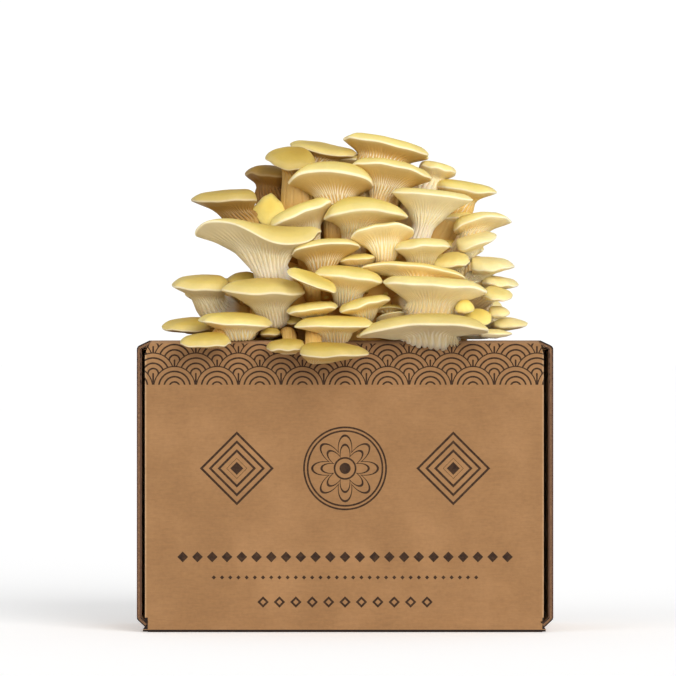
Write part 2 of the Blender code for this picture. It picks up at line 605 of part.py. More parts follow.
def main():
    for obj in list(bpy.data.objects):
        bpy.data.objects.remove(obj)
    flesh = add_material("mushroom_flesh", (0.80, 0.62, 0.24), 0.6)
    build_carton()
    build_block()
    build_knot(flesh)
    stems = {}
    for row in sorted(OYSTERS, key=lambda oyster: bool(oyster.host)):
        build_oyster(row, stems, flesh)
    for row in OYSTERS:
        if not row.host:
            shade_round(bpy.data.objects[row.name])


main()
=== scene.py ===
import math
from functools import partial

import bmesh
import bpy
import numpy as np
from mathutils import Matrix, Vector


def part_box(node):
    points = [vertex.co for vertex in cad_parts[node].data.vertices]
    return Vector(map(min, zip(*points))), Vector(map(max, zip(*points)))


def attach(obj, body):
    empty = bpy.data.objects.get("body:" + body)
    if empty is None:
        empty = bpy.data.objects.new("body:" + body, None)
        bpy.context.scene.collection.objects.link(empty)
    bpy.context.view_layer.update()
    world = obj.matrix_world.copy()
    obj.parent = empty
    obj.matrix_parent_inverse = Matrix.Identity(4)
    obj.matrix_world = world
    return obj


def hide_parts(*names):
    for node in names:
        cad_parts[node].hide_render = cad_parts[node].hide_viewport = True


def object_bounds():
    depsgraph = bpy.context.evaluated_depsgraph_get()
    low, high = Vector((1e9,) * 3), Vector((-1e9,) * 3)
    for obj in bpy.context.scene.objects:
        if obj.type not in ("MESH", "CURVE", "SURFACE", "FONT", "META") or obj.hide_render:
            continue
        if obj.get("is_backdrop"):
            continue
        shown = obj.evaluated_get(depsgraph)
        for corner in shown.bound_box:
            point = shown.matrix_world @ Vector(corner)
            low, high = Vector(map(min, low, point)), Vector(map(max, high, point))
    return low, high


# Oyster mushroom grow kit: a kraft carton with a cluster of golden oysters growing out of its top.
# X runs to the right, Y away from the camera, Z up. Lengths in the dictionaries are in millimetres.
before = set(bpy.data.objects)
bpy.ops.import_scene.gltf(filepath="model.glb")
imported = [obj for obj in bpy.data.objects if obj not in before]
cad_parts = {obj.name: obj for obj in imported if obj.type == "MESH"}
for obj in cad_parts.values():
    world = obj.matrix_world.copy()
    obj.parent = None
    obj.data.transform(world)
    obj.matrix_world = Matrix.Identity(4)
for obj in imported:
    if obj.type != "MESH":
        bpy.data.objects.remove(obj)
cadLow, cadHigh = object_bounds()
print("frame loaded:", len(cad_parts), "nodes")

mm = 0.001
cartonLow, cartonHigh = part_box("carton")
carton = dict(
    width=(cartonHigh.x - cartonLow.x) / mm,
    depth=(cartonHigh.y - cartonLow.y) / mm,
    height=(cartonHigh.z - cartonLow.z) / mm,
    board=2.8,
)
gap = 0.3  # kept between pieces that nearly touch


# Helpers

def linear(hexColour):
    channels = [int(hexColour[at:at + 2], 16) / 255 for at in (1, 3, 5)]
    bent = [c / 12.92 if c <= 0.04045 else ((c + 0.055) / 1.055) ** 2.4 for c in channels]
    return (*bent, 1.0)


def perSize(size):  # a texture's scale, from the size in mm of what it repeats
    return 1 / (size * mm)


def fillInputs(node, inputs):  # by name or number, or in order; a list links several nodes to one input
    for key, given in inputs.items() if isinstance(inputs, dict) else enumerate(inputs):
        for value in given if isinstance(given, list) else [given]:
            if isinstance(value, bpy.types.Node):
                value = next(socket for socket in value.outputs if socket.enabled)
            if isinstance(value, bpy.types.NodeSocket):
                node.id_data.links.new(value, node.inputs[key])
            else:
                node.inputs[key].default_value = value


def addNode(tree, kind, inputs=(), stops=(), **settings):
    made = tree.nodes.new(kind)
    for name, value in settings.items():
        setattr(made, name, value)
    for at, (place, colour) in enumerate(stops):  # of a ramp, which starts with two
        element = made.color_ramp.elements[at] if at < 2 else made.color_ramp.elements.new(place)
        element.position = place
        element.color = linear(colour)
    fillInputs(made, inputs)
    return made


def newMaterial(name):  # the material, its shader, and what adds a node to it
    material = bpy.data.materials.new(name)
    material.use_nodes = True
    return material, material.node_tree.nodes["Principled BSDF"], partial(addNode, material.node_tree)


def newTree(name, inputs):  # a Geometry Nodes tree, what adds a node to it, and the inputs it is given
    tree = bpy.data.node_groups.new(name, "GeometryNodeTree")
    for label, kind in {"Geometry": "Geometry", **inputs, "Finish": "Material"}.items():
        tree.interface.new_socket(label, in_out="INPUT", socket_type="NodeSocket" + kind)
    tree.interface.new_socket("Geometry", in_out="OUTPUT", socket_type="NodeSocketGeometry")
    add = partial(addNode, tree)
    return tree, add, add("NodeGroupInput").outputs


def endTree(add, geometry, finish):
    realised = add("GeometryNodeRealizeInstances", {"Geometry": geometry})
    add("NodeGroupOutput", [add("GeometryNodeSetMaterial", {"Geometry": realised, "Material": finish})])


def throughNodes(obj, tree, settings):  # runs a tree on an object and keeps the plain mesh
    modifier = obj.modifiers.new(tree.name, "NODES")
    modifier.node_group = tree
    for item in tree.interface.items_tree:
        if item.in_out == "INPUT" and item.name in settings:
            modifier[item.identifier] = settings[item.name]
    keepResult(obj, modifier)
    obj.data.name = obj.name


def keepResult(obj, modifier):  # a modifier's result becomes the object's own mesh
    graph = bpy.context.evaluated_depsgraph_get()
    mesh = bpy.data.meshes.new_from_object(obj.evaluated_get(graph), preserve_all_data_layers=True,
        depsgraph=graph)
    obj.modifiers.remove(modifier)
    old = obj.data
    obj.data = mesh
    bpy.data.meshes.remove(old)


def newMesh(name, points, faces, edges=()):  # points in mm
    mesh = bpy.data.meshes.new(name)
    mesh.from_pydata(np.asarray(points) * mm, edges, faces)
    obj = bpy.data.objects.new(name, mesh)
    bpy.context.scene.collection.objects.link(obj)
    return obj


def outward(obj):  # faces point out of each closed shell
    tool = bmesh.new()
    tool.from_mesh(obj.data)
    bmesh.ops.recalc_face_normals(tool, faces=tool.faces)
    tool.to_mesh(obj.data)
    tool.free()


def anyOf(add, shapes):  # 1 where at least one of some shapes is 1
    total = shapes[0]
    for shape in shapes[1:]:
        total = add("ShaderNodeMath", (total, shape), operation="MAXIMUM")
    return total


def within(add, value, low, high):  # 1 where a value lies between two limits
    over = add("ShaderNodeMath", (value, low), operation="GREATER_THAN")
    under = add("ShaderNodeMath", (value, high), operation="LESS_THAN")
    return add("ShaderNodeMath", (over, under), operation="MULTIPLY")


def awayFrom(add, value, place):
    offset = add("ShaderNodeMath", (value, place), operation="SUBTRACT")
    return add("ShaderNodeMath", (offset,), operation="ABSOLUTE")


def fromMiddle(add, value, pitch, turn=0.0):  # distance to the middle of the nearest of a row of equal cells
    cells = add("ShaderNodeMath", (value, 1 / pitch, 0.5 + turn), operation="MULTIPLY_ADD")
    part = add("ShaderNodeMath", (cells,), operation="FRACT")
    return add("ShaderNodeMath", (awayFrom(add, part, 0.5), pitch), operation="MULTIPLY")


# Mushrooms: where each one is and how it is shaped.
# left, right: ends of the cap as seen from the front, from the middle and over the carton's top
# front, depth, crown: the cap's nearest point, its depth and the height of its dome
# lift, droop: how far the front edge is raised, and how far the sides hang below the middle
# gills, edge: how far the gills reach below the rim, and the rim's thickness
# stem, flat, swell: half width, thickness as a share of it, and how much wider the grown stem is
# side, back: where the stem leaves the cap, in shares of the cap's half sizes
# foot, host, over: where the stem meets the knot, the mushroom it grows on, and whether it bends over
#   the edge of the top panel
# wave, corners, size, tone: size, count and phase of the margin's wave, how square the cap is, how
#   finely it is made, and its colours
# What a row of the table doesn't give is as here
def oyster(left, right, front, depth, crown, lift=0, droop=0, gills=14, edge=2.6, stem=4, flat=0.8,
        swell=1.3, side=0, back=0.3, foot=(), host="", over=False, wave=(0, 3, 0), corners=2.4, size="medium",
        tone="gold"):
    return dict(locals())


oysters = {
    "top_1": oyster((0.5, 125.5), (51.5, 114.5), -14, 30, 6, lift=2.5, gills=15, stem=5, swell=2.9,
        side=-0.08, tone="amber"),
    "top_2": oyster((-34, 122.5), (7.5, 116), -12, 22, 2, lift=-2.5, gills=10, swell=2.8, side=-0.1,
        back=0.2, tone="tan"),
    "top_3": oyster((-48.5, 114), (-18.5, 109.5), -27, 22, 5.5, lift=-6, gills=11, swell=2.8, side=0.5,
        back=0.5, foot=(-24, -6, 52), corners=1.8, tone="olive"),
    "top_4": oyster((-34.8, 98.2), (17.7, 95.7), -32, 28, 10.5, lift=4, droop=4, gills=18, stem=6, flat=0.7,
        side=0.16, back=0.5, size="large", tone="amber"),
    "top_5": oyster((4.3, 108.3), (53.5, 99.8), -27, 26, 5.5, lift=2.5, droop=2, gills=18, stem=5.5,
        flat=0.7, side=-0.15, back=0.5, size="large", tone="amber"),
    "top_6": oyster((46, 109), (69, 104.5), -4, 24, 4, lift=1, gills=13, stem=4.5, swell=2.6, side=-0.3,
        back=0.2, tone="cream"),
    "top_7": oyster((57, 97), (94, 92.5), -9, 24, 4, lift=-1, gills=15, stem=4.5, swell=3.0, side=-0.5,
        back=0.2, tone="honey"),
    "left_1": oyster((-61.5, 104), (-34, 100.5), -4, 22, 7, lift=1, gills=13, stem=5, swell=2, side=0.3,
        back=0.2, foot=(-24, 4, 52), tone="umber"),
    "left_2": oyster((-94.5, 87), (-54, 87.6), -28, 26, 6, lift=-0.5, stem=5, swell=1.8, side=0.6,
        tone="olive"),
    "left_3": oyster((-57.5, 81), (-35.5, 80), -18, 26, 3, lift=-11, gills=5, stem=3.5, back=0.2,
        corners=1.25, size="small", tone="bright"),
    "left_4": oyster((-46, 69), (-8, 85), -38, 24, 8, lift=2, gills=15.5, stem=5.5, flat=0.7, side=-0.1,
        back=0.8, size="large", tone="lit"),
    "left_5": oyster((-91.5, 70), (-15.9, 62.6), -57, 30, 5, gills=20, stem=8, side=0.25, back=0.2,
        foot=(-42, -20, 34), wave=(-5, 3, -15.54), size="large", tone="grey"),
    "left_6": oyster((-106.1, 34.8), (-71.3, 32.9), -42, 28, 6.5, lift=-2, stem=7.5, side=0.55, back=0.2,
        foot=(-69, -10, 17), tone="grey"),
    "left_7": oyster((-75, 31.7), (-25, 29.9), -65, 30, 7, lift=-1.5, gills=17, stem=6.5, side=0.3, back=0.5,
        foot=(-44, -22, 16), size="large", tone="grey"),
    "left_8": oyster((-73.8, 36), (-53, 36), -29, 20, 6.5, gills=8, swell=1.8, side=0.3, back=0,
        foot=(-62, -8, 28), size="small", tone="olive"),
    "left_9": oyster((-112.2, 9.1), (-83, 8.4), -44, 28, 5, lift=-2, gills=5, flat=0.6, side=0.6,
        foot=(-74, -4, 5), tone="deep"),
    "left_10": oyster((-89, 12.8), (-45, 9.8), -69, 26, 5.5, lift=-1, gills=9, edge=2.0, stem=6, flat=0.6,
        side=0.15, back=0.6, foot=(-57, -20, 8)),
    "left_11": oyster((-100, -0.6), (-70.1, -0.6), -77, 20, 5, lift=-2, gills=4, stem=3, side=0.5,
        foot=(-66, -15, 5), over=True, tone="deep"),
    "left_12": oyster((-98.2, 29.3), (-88.5, 26.5), -28, 9, 3, lift=-1, gills=3, edge=1.8, stem=2.5,
        side=0.4, back=0, host="left_6", size="small", tone="deep"),
    "left_13": oyster((-52, 4.6), (-39, 4.6), -50, 16, 3.5, gills=3, stem=3, flat=0.6, back=0.5,
        foot=(-47, -23, 5), size="small", tone="deep"),
    "mid_1": oyster((-12, 75.4), (37.8, 76), -46, 27, 8, droop=5, gills=17, stem=5.5, flat=0.7, side=-0.3,
        back=0.7, size="large"),
    "mid_2": oyster((-32.9, 53.4), (8.5, 58), -55, 24, 4.5, lift=2, droop=2.3, stem=5, side=-0.15, back=0.8,
        tone="amber"),
    "mid_3": oyster((3.7, 62.5), (42.1, 66.5), -50, 22, 4, lift=5, droop=2, gills=11, stem=5, back=0.9,
        foot=(20, -17, 46)),
    "mid_4": oyster((30, 56.7), (64, 58.5), -54, 26, 5.5, lift=0.5, gills=12, stem=5, side=-0.05, back=0.9,
        foot=(48, -12, 39), tone="cream"),
    "mid_5": oyster((-5, 48.5), (18.5, 50.8), -44, 16, 3.5, lift=1, gills=7, side=0.1, back=0.6,
        foot=(12, -22, 38), size="small"),
    "mid_6": oyster((11, 45), (73.8, 38.5), -51, 16, 2.5, lift=2, droop=3, gills=9, stem=5, side=0.1,
        back=0.9, foot=(38, -19, 36)),
    "mid_7": oyster((-18.9, 41.5), (22.6, 36.6), -63, 25, 6.5, gills=15, stem=6, flat=0.7, side=0.05,
        back=0.8, foot=(0, -25, 32), size="large"),
    "mid_8": oyster((-34.8, 43), (-5, 31), -74, 18, 2, lift=-2.7, gills=7, back=0.95, foot=(-20, -26, 26),
        tone="amber"),
    "mid_9": oyster((-35.4, 17.7), (-5, 21.3), -67, 22, 4, gills=7, back=0.8, foot=(-22, -26.5, 16)),
    "mid_10": oyster((-4, 18.3), (26.8, 26.2), -69, 22, 4, gills=8, side=-0.1, back=0.8, foot=(9, -28, 18)),
    "mid_11": oyster((14.5, 17.5), (39, 18.3), -44, 12, 1.2, droop=3, gills=4, edge=1.6, stem=3, back=0.5,
        host="mid_12", size="small"),
    "mid_12": oyster((19, 12.8), (38.4, 15.9), -47, 14, 2, lift=3, gills=6, edge=1.8, side=-0.2, back=0.8,
        foot=(25, -28, 8), size="small"),
    "mid_13": oyster((-29.9, 9.8), (17, 10.4), -78, 27, 4.5, lift=-1.2, gills=9, edge=2.0, stem=7, flat=0.5,
        back=0.5, foot=(-4, -29, 9), size="large"),
    "mid_14": oyster((-37, 11.5), (-25, 11.1), -44, 14, 4, gills=3, stem=3, back=0.4, foot=(-30, -25, 16),
        size="small", tone="deep"),
    "front_1": oyster((-47.6, -3.7), (-24, -3), -75, 19, 4, lift=-1.5, gills=6, stem=3, side=0.2,
        foot=(-34, -26.5, 4), over=True, tone="dim"),
    "front_2": oyster((-27.4, -6.7), (13.4, -6.7), -87, 25, 5, lift=-2, gills=8.5, stem=3.5, side=-0.6,
        foot=(-17, -28, 6), over=True, tone="dim"),
    "right_1": oyster((29.9, 92), (78.7, 87.1), -38, 27, 3.5, lift=0.5, gills=20, stem=4.8, flat=0.9,
        side=-0.17, back=0.5, size="large", tone="cream"),
    "right_2": oyster((67.1, 67.9), (102.4, 74), -28, 26, 5, lift=2, droop=3.5, gills=10, stem=4.5,
        side=-0.6, foot=(54, 6, 39), tone="warm"),
    "right_3": oyster((54, 48), (76.2, 50), -41, 18, 3.5, lift=-3, gills=8, side=0.2, back=0.6,
        foot=(58, -14, 25), tone="warm"),
    "right_4": oyster((77.5, 45.5), (103.7, 46.8), -40, 26, 5, lift=-2, gills=8, side=-0.9,
        foot=(66, -7, 24), tone="pale"),
    "right_5": oyster((68.9, 57.3), (93, 65.5), -36, 20, 4, lift=-2, gills=8, stem=3.5, side=-0.8, back=0.4,
        foot=(56, -8, 36), tone="pale"),
    "right_6": oyster((23.2, 35.3), (86.6, 30.4), -72, 29, 6.5, lift=1.5, gills=16, stem=12, flat=0.5,
        side=-0.06, back=0.9, foot=(44, -21, 20), size="large", tone="cream"),
    "right_7": oyster((8, 3), (86.6, 6), -84, 34, 8.5, lift=1.5, droop=4.5, gills=8, stem=9, flat=0.25,
        swell=2.3, side=0.1, back=1.05, foot=(44, -24, 5), size="large", tone="grey"),
    "right_8": oyster((67.2, 19.5), (78.2, 19.5), -62, 11, 5.5, lift=-2, gills=3, edge=1.8, stem=2.2,
        back=0.2, host="right_6", size="small", tone="bright"),
    "right_9": oyster((84.5, 36.8), (106.5, 34.8), -36, 24, 3.5, lift=-1, gills=7, side=-0.6, back=0.2,
        foot=(73, 3, 14), tone="pale"),
    "right_10": oyster((84, 28.5), (102.4, 27.5), -52, 21, 4, lift=-2, gills=5, stem=3.5, side=-0.5,
        back=0.5, foot=(68, -11, 14), tone="warm"),
    "right_11": oyster((72.5, 14.5), (89.6, 14.5), -53, 16, 3, lift=-4.5, gills=4, stem=3, back=0.2,
        foot=(60, -17, 12), size="small", tone="bright"),
    "right_12": oyster((87.5, 17.5), (101, 17.5), -46, 15, 3.5, lift=-1.5, gills=4, stem=3, side=-0.5,
        back=0, foot=(68, -13, 5), size="small", tone="pale"),
    "right_13": oyster((89.5, 10.6), (112, 10.6), -40, 20, 3.5, lift=-1.5, gills=4, stem=3, flat=0.6,
        side=-0.6, back=0, foot=(74, -4, 5), size="small", tone="pale"),
    "right_14": oyster((82.3, 4.6), (102.4, 4.4), -56, 19, 2.5, gills=2.9, edge=2, stem=2, flat=0.6,
        side=-0.6, back=0.4, foot=(61, -18, 3), size="small", tone="pale"),
    "fill_1": oyster((-16, 114), (22, 112.5), -2, 22, 3, gills=20, stem=7, swell=1.8, host="back_1",
        tone="tan"),
    "fill_2": oyster((50, 76), (80, 78), -6, 22, 3.5, gills=20, stem=6, swell=2.0, host="back_2"),
    "fill_3": oyster((56, 60), (86, 57), -10, 24, 4, stem=6, swell=1.8, host="back_6"),
    "fill_4": oyster((66, 36), (92, 38), -26, 22, 4, gills=12, stem=6, swell=1.8, host="back_10",
        tone="warm"),
    "back_1": oyster((-46, 93), (1, 97), 11, 43, 7, lift=3, droop=2, gills=19, stem=7, side=0.2, back=-0.3,
        size="large"),
    "back_2": oyster((5, 98), (56, 89), 10, 42, 8, lift=3, gills=20, stem=7.5, side=-0.1, back=-0.4,
        size="large"),
    "back_3": oyster((-86, 68), (-40, 70), 12, 42, 6, lift=2, stem=6.5, side=0.5, back=-0.3, tone="olive"),
    "back_4": oyster((-38, 64), (16, 61), 28, 44, 7, lift=3, droop=2, gills=19, stem=8, back=-0.4,
        foot=(-10, 22, 36), size="large"),
    "back_5": oyster((20, 58), (72, 63), 22, 44, 8, lift=2, gills=16, stem=7.5, side=-0.1, back=-0.4),
    "back_6": oyster((62, 49), (100, 45), 6, 40, 6, lift=1, gills=12, stem=6, side=-0.4, back=-0.2,
        foot=(61, 8, 28), tone="cream"),
    "back_7": oyster((-93, 34), (-50, 30), 8, 46, 7, lift=1, stem=7.5, side=0.5, back=-0.2),
    "back_8": oyster((-56, 24), (0, 29), 32, 47, 9, lift=3, gills=15, stem=9, back=-0.5),
    "back_9": oyster((4, 30), (58, 23), 30, 46, 7, lift=2, stem=8, side=-0.1, back=-0.5),
    "back_10": oyster((52, 17), (99, 22), 10, 44, 7, lift=1, gills=9, stem=6, back=-0.1, foot=(67, 9, 8),
        tone="cream"),
}

# The knot of fused stems that they leave from
knot = dict(halfWidth=76, halfDepth=30, rise=58, columns=180, rows=26)

# How the stems run, as in the solids: shares of a stem's run or of a direction, and lengths
stemShape = dict(start=0.35, end=0.3, flare=1.1, shallowGills=8, levelStem=0.5, limbStart=0.4, hostJoin=0.55,
    towardFoot=0.3, along=0.3, down=0.7, levelBend=0.5, overBack=9, overRise=8, overFoot=12, margin=1.5,
    sunk=1.5, rings=5, rows=2, sideStart=2.2, sideRows=4)

# Rings of each size of cap: spread, and height in shares of the crown, of the rim's thickness and of
# how far the gills reach down
capRings = {
    "small": [(0.65, 0.72, 0, 0), (1, 0, 0.6, 0), (0.93, 0, 1, 0)],
    "medium": [(0.54, 0.84, 0, 0), (0.9, 0.4, 0, 0), (1, 0, 0.75, 0), (0.955, 0, 1, 0.03), (0.6, 0, 1, 0.4)],
    "large": [(0.52, 0.85, 0, 0), (0.9, 0.4, 0, 0), (1, 0, 0.75, 0), (0.965, 0, 1, 0.02), (0.7, 0, 1, 0.27),
        (0.46, 0, 1, 0.58)],
}

# How fine each size is made: gills that reach the stem, points for each, rows from ring to ring
fineness = {
    "small": dict(primary=9, points=12, rows=[5, 4, 3, 5]),
    "medium": dict(primary=13, points=16, rows=[4, 4, 4, 3, 5, 5]),
    "large": dict(primary=16, points=16, rows=[4, 4, 4, 3, 5, 4, 4]),
}

# Small unevenness of a grown cap, in shares of its half size or in mm: how many waves go round the margin
# out and in, and up and down, and how far; and how the surface runs between the rings
growth = dict(reachWaves=(2, 3, 5, 7, 11), reach=0.045, heightWaves=(3, 5, 8), height=0.9, smallHeight=0.5,
    gillDrift=0.05, gillWaves=(3, 7), fineDrift=0.6, thinEdge=0.62, leastStep=0.2, flatTop=0.85,
    pinch=0.001, poleRoom=0.1, seed=11)


def onKnot(point, clear=gap):
    local = point - Vector((0, 0, carton["height"]))
    halves = (knot["halfWidth"] + clear, knot["halfDepth"] + clear, knot["rise"] + clear)
    reach = Vector([place / half for place, half in zip(local, halves)]).length
    return Vector((0, 0, carton["height"])) + local / reach


def offKnot(point):
    local = point - Vector((0, 0, carton["height"]))
    halves = (knot["halfWidth"], knot["halfDepth"], knot["rise"])
    return Vector([place / half ** 2 for place, half in zip(local, halves)]).normalized()


def clearOfPanel(rings):  # raises points that would lie in the top panel
    inPanel = (rings[..., 1] > -carton["depth"] / 2 - gap) & (rings[..., 2] < carton["height"] + 2 * gap)
    rings[..., 2] = np.where(inPanel, carton["height"] + 2 * gap, rings[..., 2])
    return rings


def capFrame(row):  # middle, axes and half sizes of a cap, and how far off its middle the stem leaves
    left, right = [Vector((across, 0, up + carton["height"])) for across, up in (row["left"], row["right"])]
    halfDepth = row["depth"] / 2
    across = (right - left).normalized()
    tilt = math.asin(row["lift"] / halfDepth)
    inward = Vector((0, math.cos(tilt), -math.sin(tilt)))
    inward = (inward - across * inward.dot(across)).normalized()
    middle = (left + right) / 2
    middle.y = row["front"] + halfDepth * math.cos(tilt)
    halfWidth = (right - left).length / 2
    return dict(middle=middle, across=across, inward=inward, up=across.cross(inward), halfWidth=halfWidth,
        halfDepth=halfDepth, offset=across * row["side"] * halfWidth + inward * row["back"] * halfDepth)


def capPoints(row, cap, angles, spread, height, lobes):  # one ring of the cap
    squareness = row["corners"]
    cosine, sine = np.cos(angles), np.sin(angles)
    reach = spread * (np.abs(cosine) ** squareness + np.abs(sine) ** squareness) ** (-1 / squareness)
    reach = reach * (1 + lobes["reach"](angles) * spread ** 3)
    size, count, phase = row["wave"]
    raised = height + size * np.cos(count * angles + phase) * spread ** 2
    raised = raised + row["droop"] * (1 - (spread * cosine) ** 2) + lobes["height"](angles) * spread ** 3
    return (np.array(cap["middle"] + cap["offset"] * (1 - spread))
        + np.outer(reach * cosine * cap["halfWidth"], cap["across"])
        + np.outer(reach * sine * cap["halfDepth"], cap["inward"]) + np.outer(raised, cap["up"]))


def makeLobes(random, row):  # uneven margin: a few waves round the cap, for its reach and its height
    def waves(counts, size):
        terms = [(count, random.uniform(-1, 1), random.uniform(0, 2 * math.pi)) for count in counts]
        return lambda angles: sum(size * share / math.sqrt(count) * np.cos(count * angles + phase)
            for count, share, phase in terms)

    shy = growth["smallHeight"] if row["size"] == "small" else 1
    return dict(reach=waves(growth["reachWaves"], growth["reach"]),
        height=waves(growth["heightWaves"], growth["height"] * shy))


def stemCurve(row, cap, host):  # four points of the stem's curve, and whether it joins the cap from the side
    start = cap["middle"] + cap["offset"]
    neck = start - cap["up"] * (row["gills"] - row["droop"])
    top = Vector((0, 0, carton["height"]))
    if host:
        foot = curvePoint(host, stemShape["hostJoin"])
        out = (neck - foot).normalized()
    elif row["foot"]:
        foot = onKnot(top + Vector(row["foot"]))
        out = offKnot(foot)
    else:
        foot = onKnot(neck.lerp(top + Vector((neck.x / 2, 0, 0)), stemShape["towardFoot"]))
        foot.z = max(foot.z, carton["height"] + row["stem"] * row["flat"] + stemShape["margin"])
        foot = onKnot(foot)
        out = offKnot(foot)
    if row["over"]:
        bend = Vector((start.x, start.y + stemShape["overBack"], carton["height"] + stemShape["overRise"]))
        return [start, bend, foot + out * stemShape["overFoot"], foot], True
    span = (foot - neck).length
    toward = (foot - neck).normalized()
    end = foot + out * span * stemShape["end"]
    if row["gills"] < stemShape["shallowGills"] and toward.dot(cap["up"]) > -stemShape["levelStem"]:
        start = start + cap["up"] * (row["droop"] - stemShape["limbStart"] * row["gills"])
        return [start, start + (foot - start).normalized() * span * stemShape["start"], end, foot], True
    level = math.hypot(toward.x, toward.y) * stemShape["levelBend"]
    heading = toward * (stemShape["along"] + level) - cap["up"] * (stemShape["down"] - level)
    return [neck, neck + heading.normalized() * span * stemShape["start"], end, foot], False


def curvePoint(curve, along):
    a, b, c, d = curve
    left = 1 - along
    return a * left ** 3 + b * 3 * left ** 2 * along + c * 3 * left * along ** 2 + d * along ** 3


def curveHeading(curve, along):
    a, b, c, d = curve
    left = 1 - along
    return ((b - a) * left ** 2 + (c - b) * 2 * left * along + (d - c) * along ** 2).normalized()


def stemRing(row, cap, curve, along, angles):
    turn = (-cap["up"]).rotation_difference(curveHeading(curve, along))
    swell = (1 + (stemShape["flare"] - 1) * along) * row["swell"]
    broad = turn @ cap["across"] * row["stem"] * swell
    deep = turn @ cap["inward"] * row["stem"] * row["flat"] * swell
    middle = np.array(curvePoint(curve, along))
    return middle + np.outer(np.cos(angles), broad) + np.outer(np.sin(angles), deep)


def smoothRows(rings, places, counts, dome):
    # a smooth surface through rings of points: cubic pieces down each column, with a flat start on a dome
    rings = np.array(rings)
    steps = np.linalg.norm(np.diff(rings, axis=0), axis=2).mean(axis=1)
    knots = np.concatenate([[0], np.cumsum(np.maximum(steps, growth["leastStep"]))])
    slopes = np.diff(rings, axis=0) / np.diff(knots)[:, None, None]
    tangents = np.empty_like(rings)
    tangents[0] = slopes[0] - dome[None, :] * (slopes[0] @ dome)[:, None] * growth["flatTop"]
    tangents[-1] = slopes[-1]
    for at in range(1, len(rings) - 1):
        before, after = knots[at] - knots[at - 1], knots[at + 1] - knots[at]
        tangents[at] = (slopes[at] * before + slopes[at - 1] * after) / (before + after)
    rows, along = [], []
    for at, count in enumerate(counts):
        length = knots[at + 1] - knots[at]
        for share in np.arange(count) / count:
            square, cube = share ** 2, share ** 3
            rows.append(rings[at] * (2 * cube - 3 * square + 1)
                + tangents[at] * (cube - 2 * square + share) * length
                + rings[at + 1] * (3 * square - 2 * cube)
                + tangents[at + 1] * (cube - square) * length)
            along.append(places[at] + (places[at + 1] - places[at]) * share)
    return np.array(rows + [rings[-1]]), np.array(along + [places[-1]])


def closedSkin(rows, start, end):  # points and faces of rings of points, with a fan at both ends
    count, width = rows.shape[:2]
    points = np.concatenate([rows.reshape(-1, 3), [start], [end]])
    first, last = count * width, count * width + 1
    faces = []
    for column in range(width):
        after = (column + 1) % width
        faces.append((first, after, column))
        for row in range(count - 1):
            low, high = row * width, (row + 1) * width
            faces.append((low + column, low + after, high + after, high + column))
        base = (count - 1) * width
        faces.append((last, base + column, base + after))
    return points, faces


def joinSkins(skins):
    points, faces = [], []
    for morePoints, moreFaces in skins:
        shift = len(points)
        points += list(morePoints)
        faces += [tuple(shift + corner for corner in side) for side in moreFaces]
    return points, faces


def oysterSkin(row, cap, curve, sideways, seed):
    # points, faces and, for every point, its place down the mushroom, its gill and the room between gills;
    # the place is 0 at the crown, 1 at the rim, 2 at the top of the stem and 3 at its foot
    random = np.random.default_rng(seed)
    lobes = makeLobes(random, row)
    fine = fineness[row["size"]]
    width = fine["primary"] * fine["points"]
    turns = np.arange(width) * 2 * math.pi / width
    edge = row["edge"] * growth["thinEdge"]
    fall = row["gills"] - edge
    drift = growth["gillDrift"] * random.uniform(0.5, 1)
    phases = random.uniform(0, 2 * math.pi, 2)

    def drawnIn(height):  # a ring drawn together to the point over the stem
        return np.repeat(capPoints(row, cap, turns[:1], 0, height, lobes), width, axis=0)

    rings, places = [drawnIn(row["crown"])], [0.0]
    for spread, ofCrown, ofEdge, ofFall in capRings[row["size"]]:
        broad, narrow = growth["gillWaves"]
        angles = turns + drift * np.sin(broad * turns + phases[0]) * (ofEdge + spread)
        angles = angles + drift * growth["fineDrift"] * np.sin(narrow * turns + phases[1] + 4 * spread)
        height = ofCrown * row["crown"] - ofEdge * edge - ofFall * fall
        rings.append(capPoints(row, cap, angles, spread, height, lobes))
        places.append(2 - spread if ofEdge else spread)
    shares = np.linspace(0, 1, stemShape["rings"])
    stem = [stemRing(row, cap, curve, along, turns) for along in shares]
    if not row["host"]:
        stem[-1] = np.array([onKnot(Vector(spot), -stemShape["sunk"]) for spot in stem[-1]])
    crown, foot, dome = rings[0][0], np.array(curve[3]), np.array(cap["up"])
    between = len(shares) - 1
    if sideways:  # the cap is closed beneath, and the stem is a second skin that runs into it
        hollow = drawnIn(-row["gills"])
        rings.append(hollow * (1 - growth["pinch"]) + rings[-1] * growth["pinch"])
        rows, along = smoothRows(rings, places + [2.0], fine["rows"], dome)
        skins = [(rows[1:], along[1:], crown, hollow[0])]
        rows, along = smoothRows(stem, stemShape["sideStart"] + shares * (3 - stemShape["sideStart"]),
            [stemShape["sideRows"]] * between, np.zeros(3))
        skins.append((rows, along, np.array(curve[0]), foot))
    else:
        rows, along = smoothRows(rings + stem, places + list(2 + shares),
            fine["rows"] + [stemShape["rows"]] * between, dome)
        skins = [(rows[1:], along[1:], crown, foot)]
    made, values = [], []
    for rows, along, top, bottom in skins:
        rows = clearOfPanel(rows)
        made.append(closedSkin(rows, top, bottom))
        pitches = np.linalg.norm(np.roll(rows, -1, axis=1) - rows, axis=2).mean(axis=1) * fine["points"]
        place = np.concatenate([np.repeat(along, width), [along[0], along[-1]]])
        turn = np.concatenate([np.tile(np.arange(width) / fine["points"], len(rows)), [0, 0]])
        room = np.concatenate([np.repeat(pitches, width), [growth["poleRoom"]] * 2])
        values.append(np.stack([place, turn, room * mm], axis=1))
    return *joinSkins(made), np.concatenate(values)


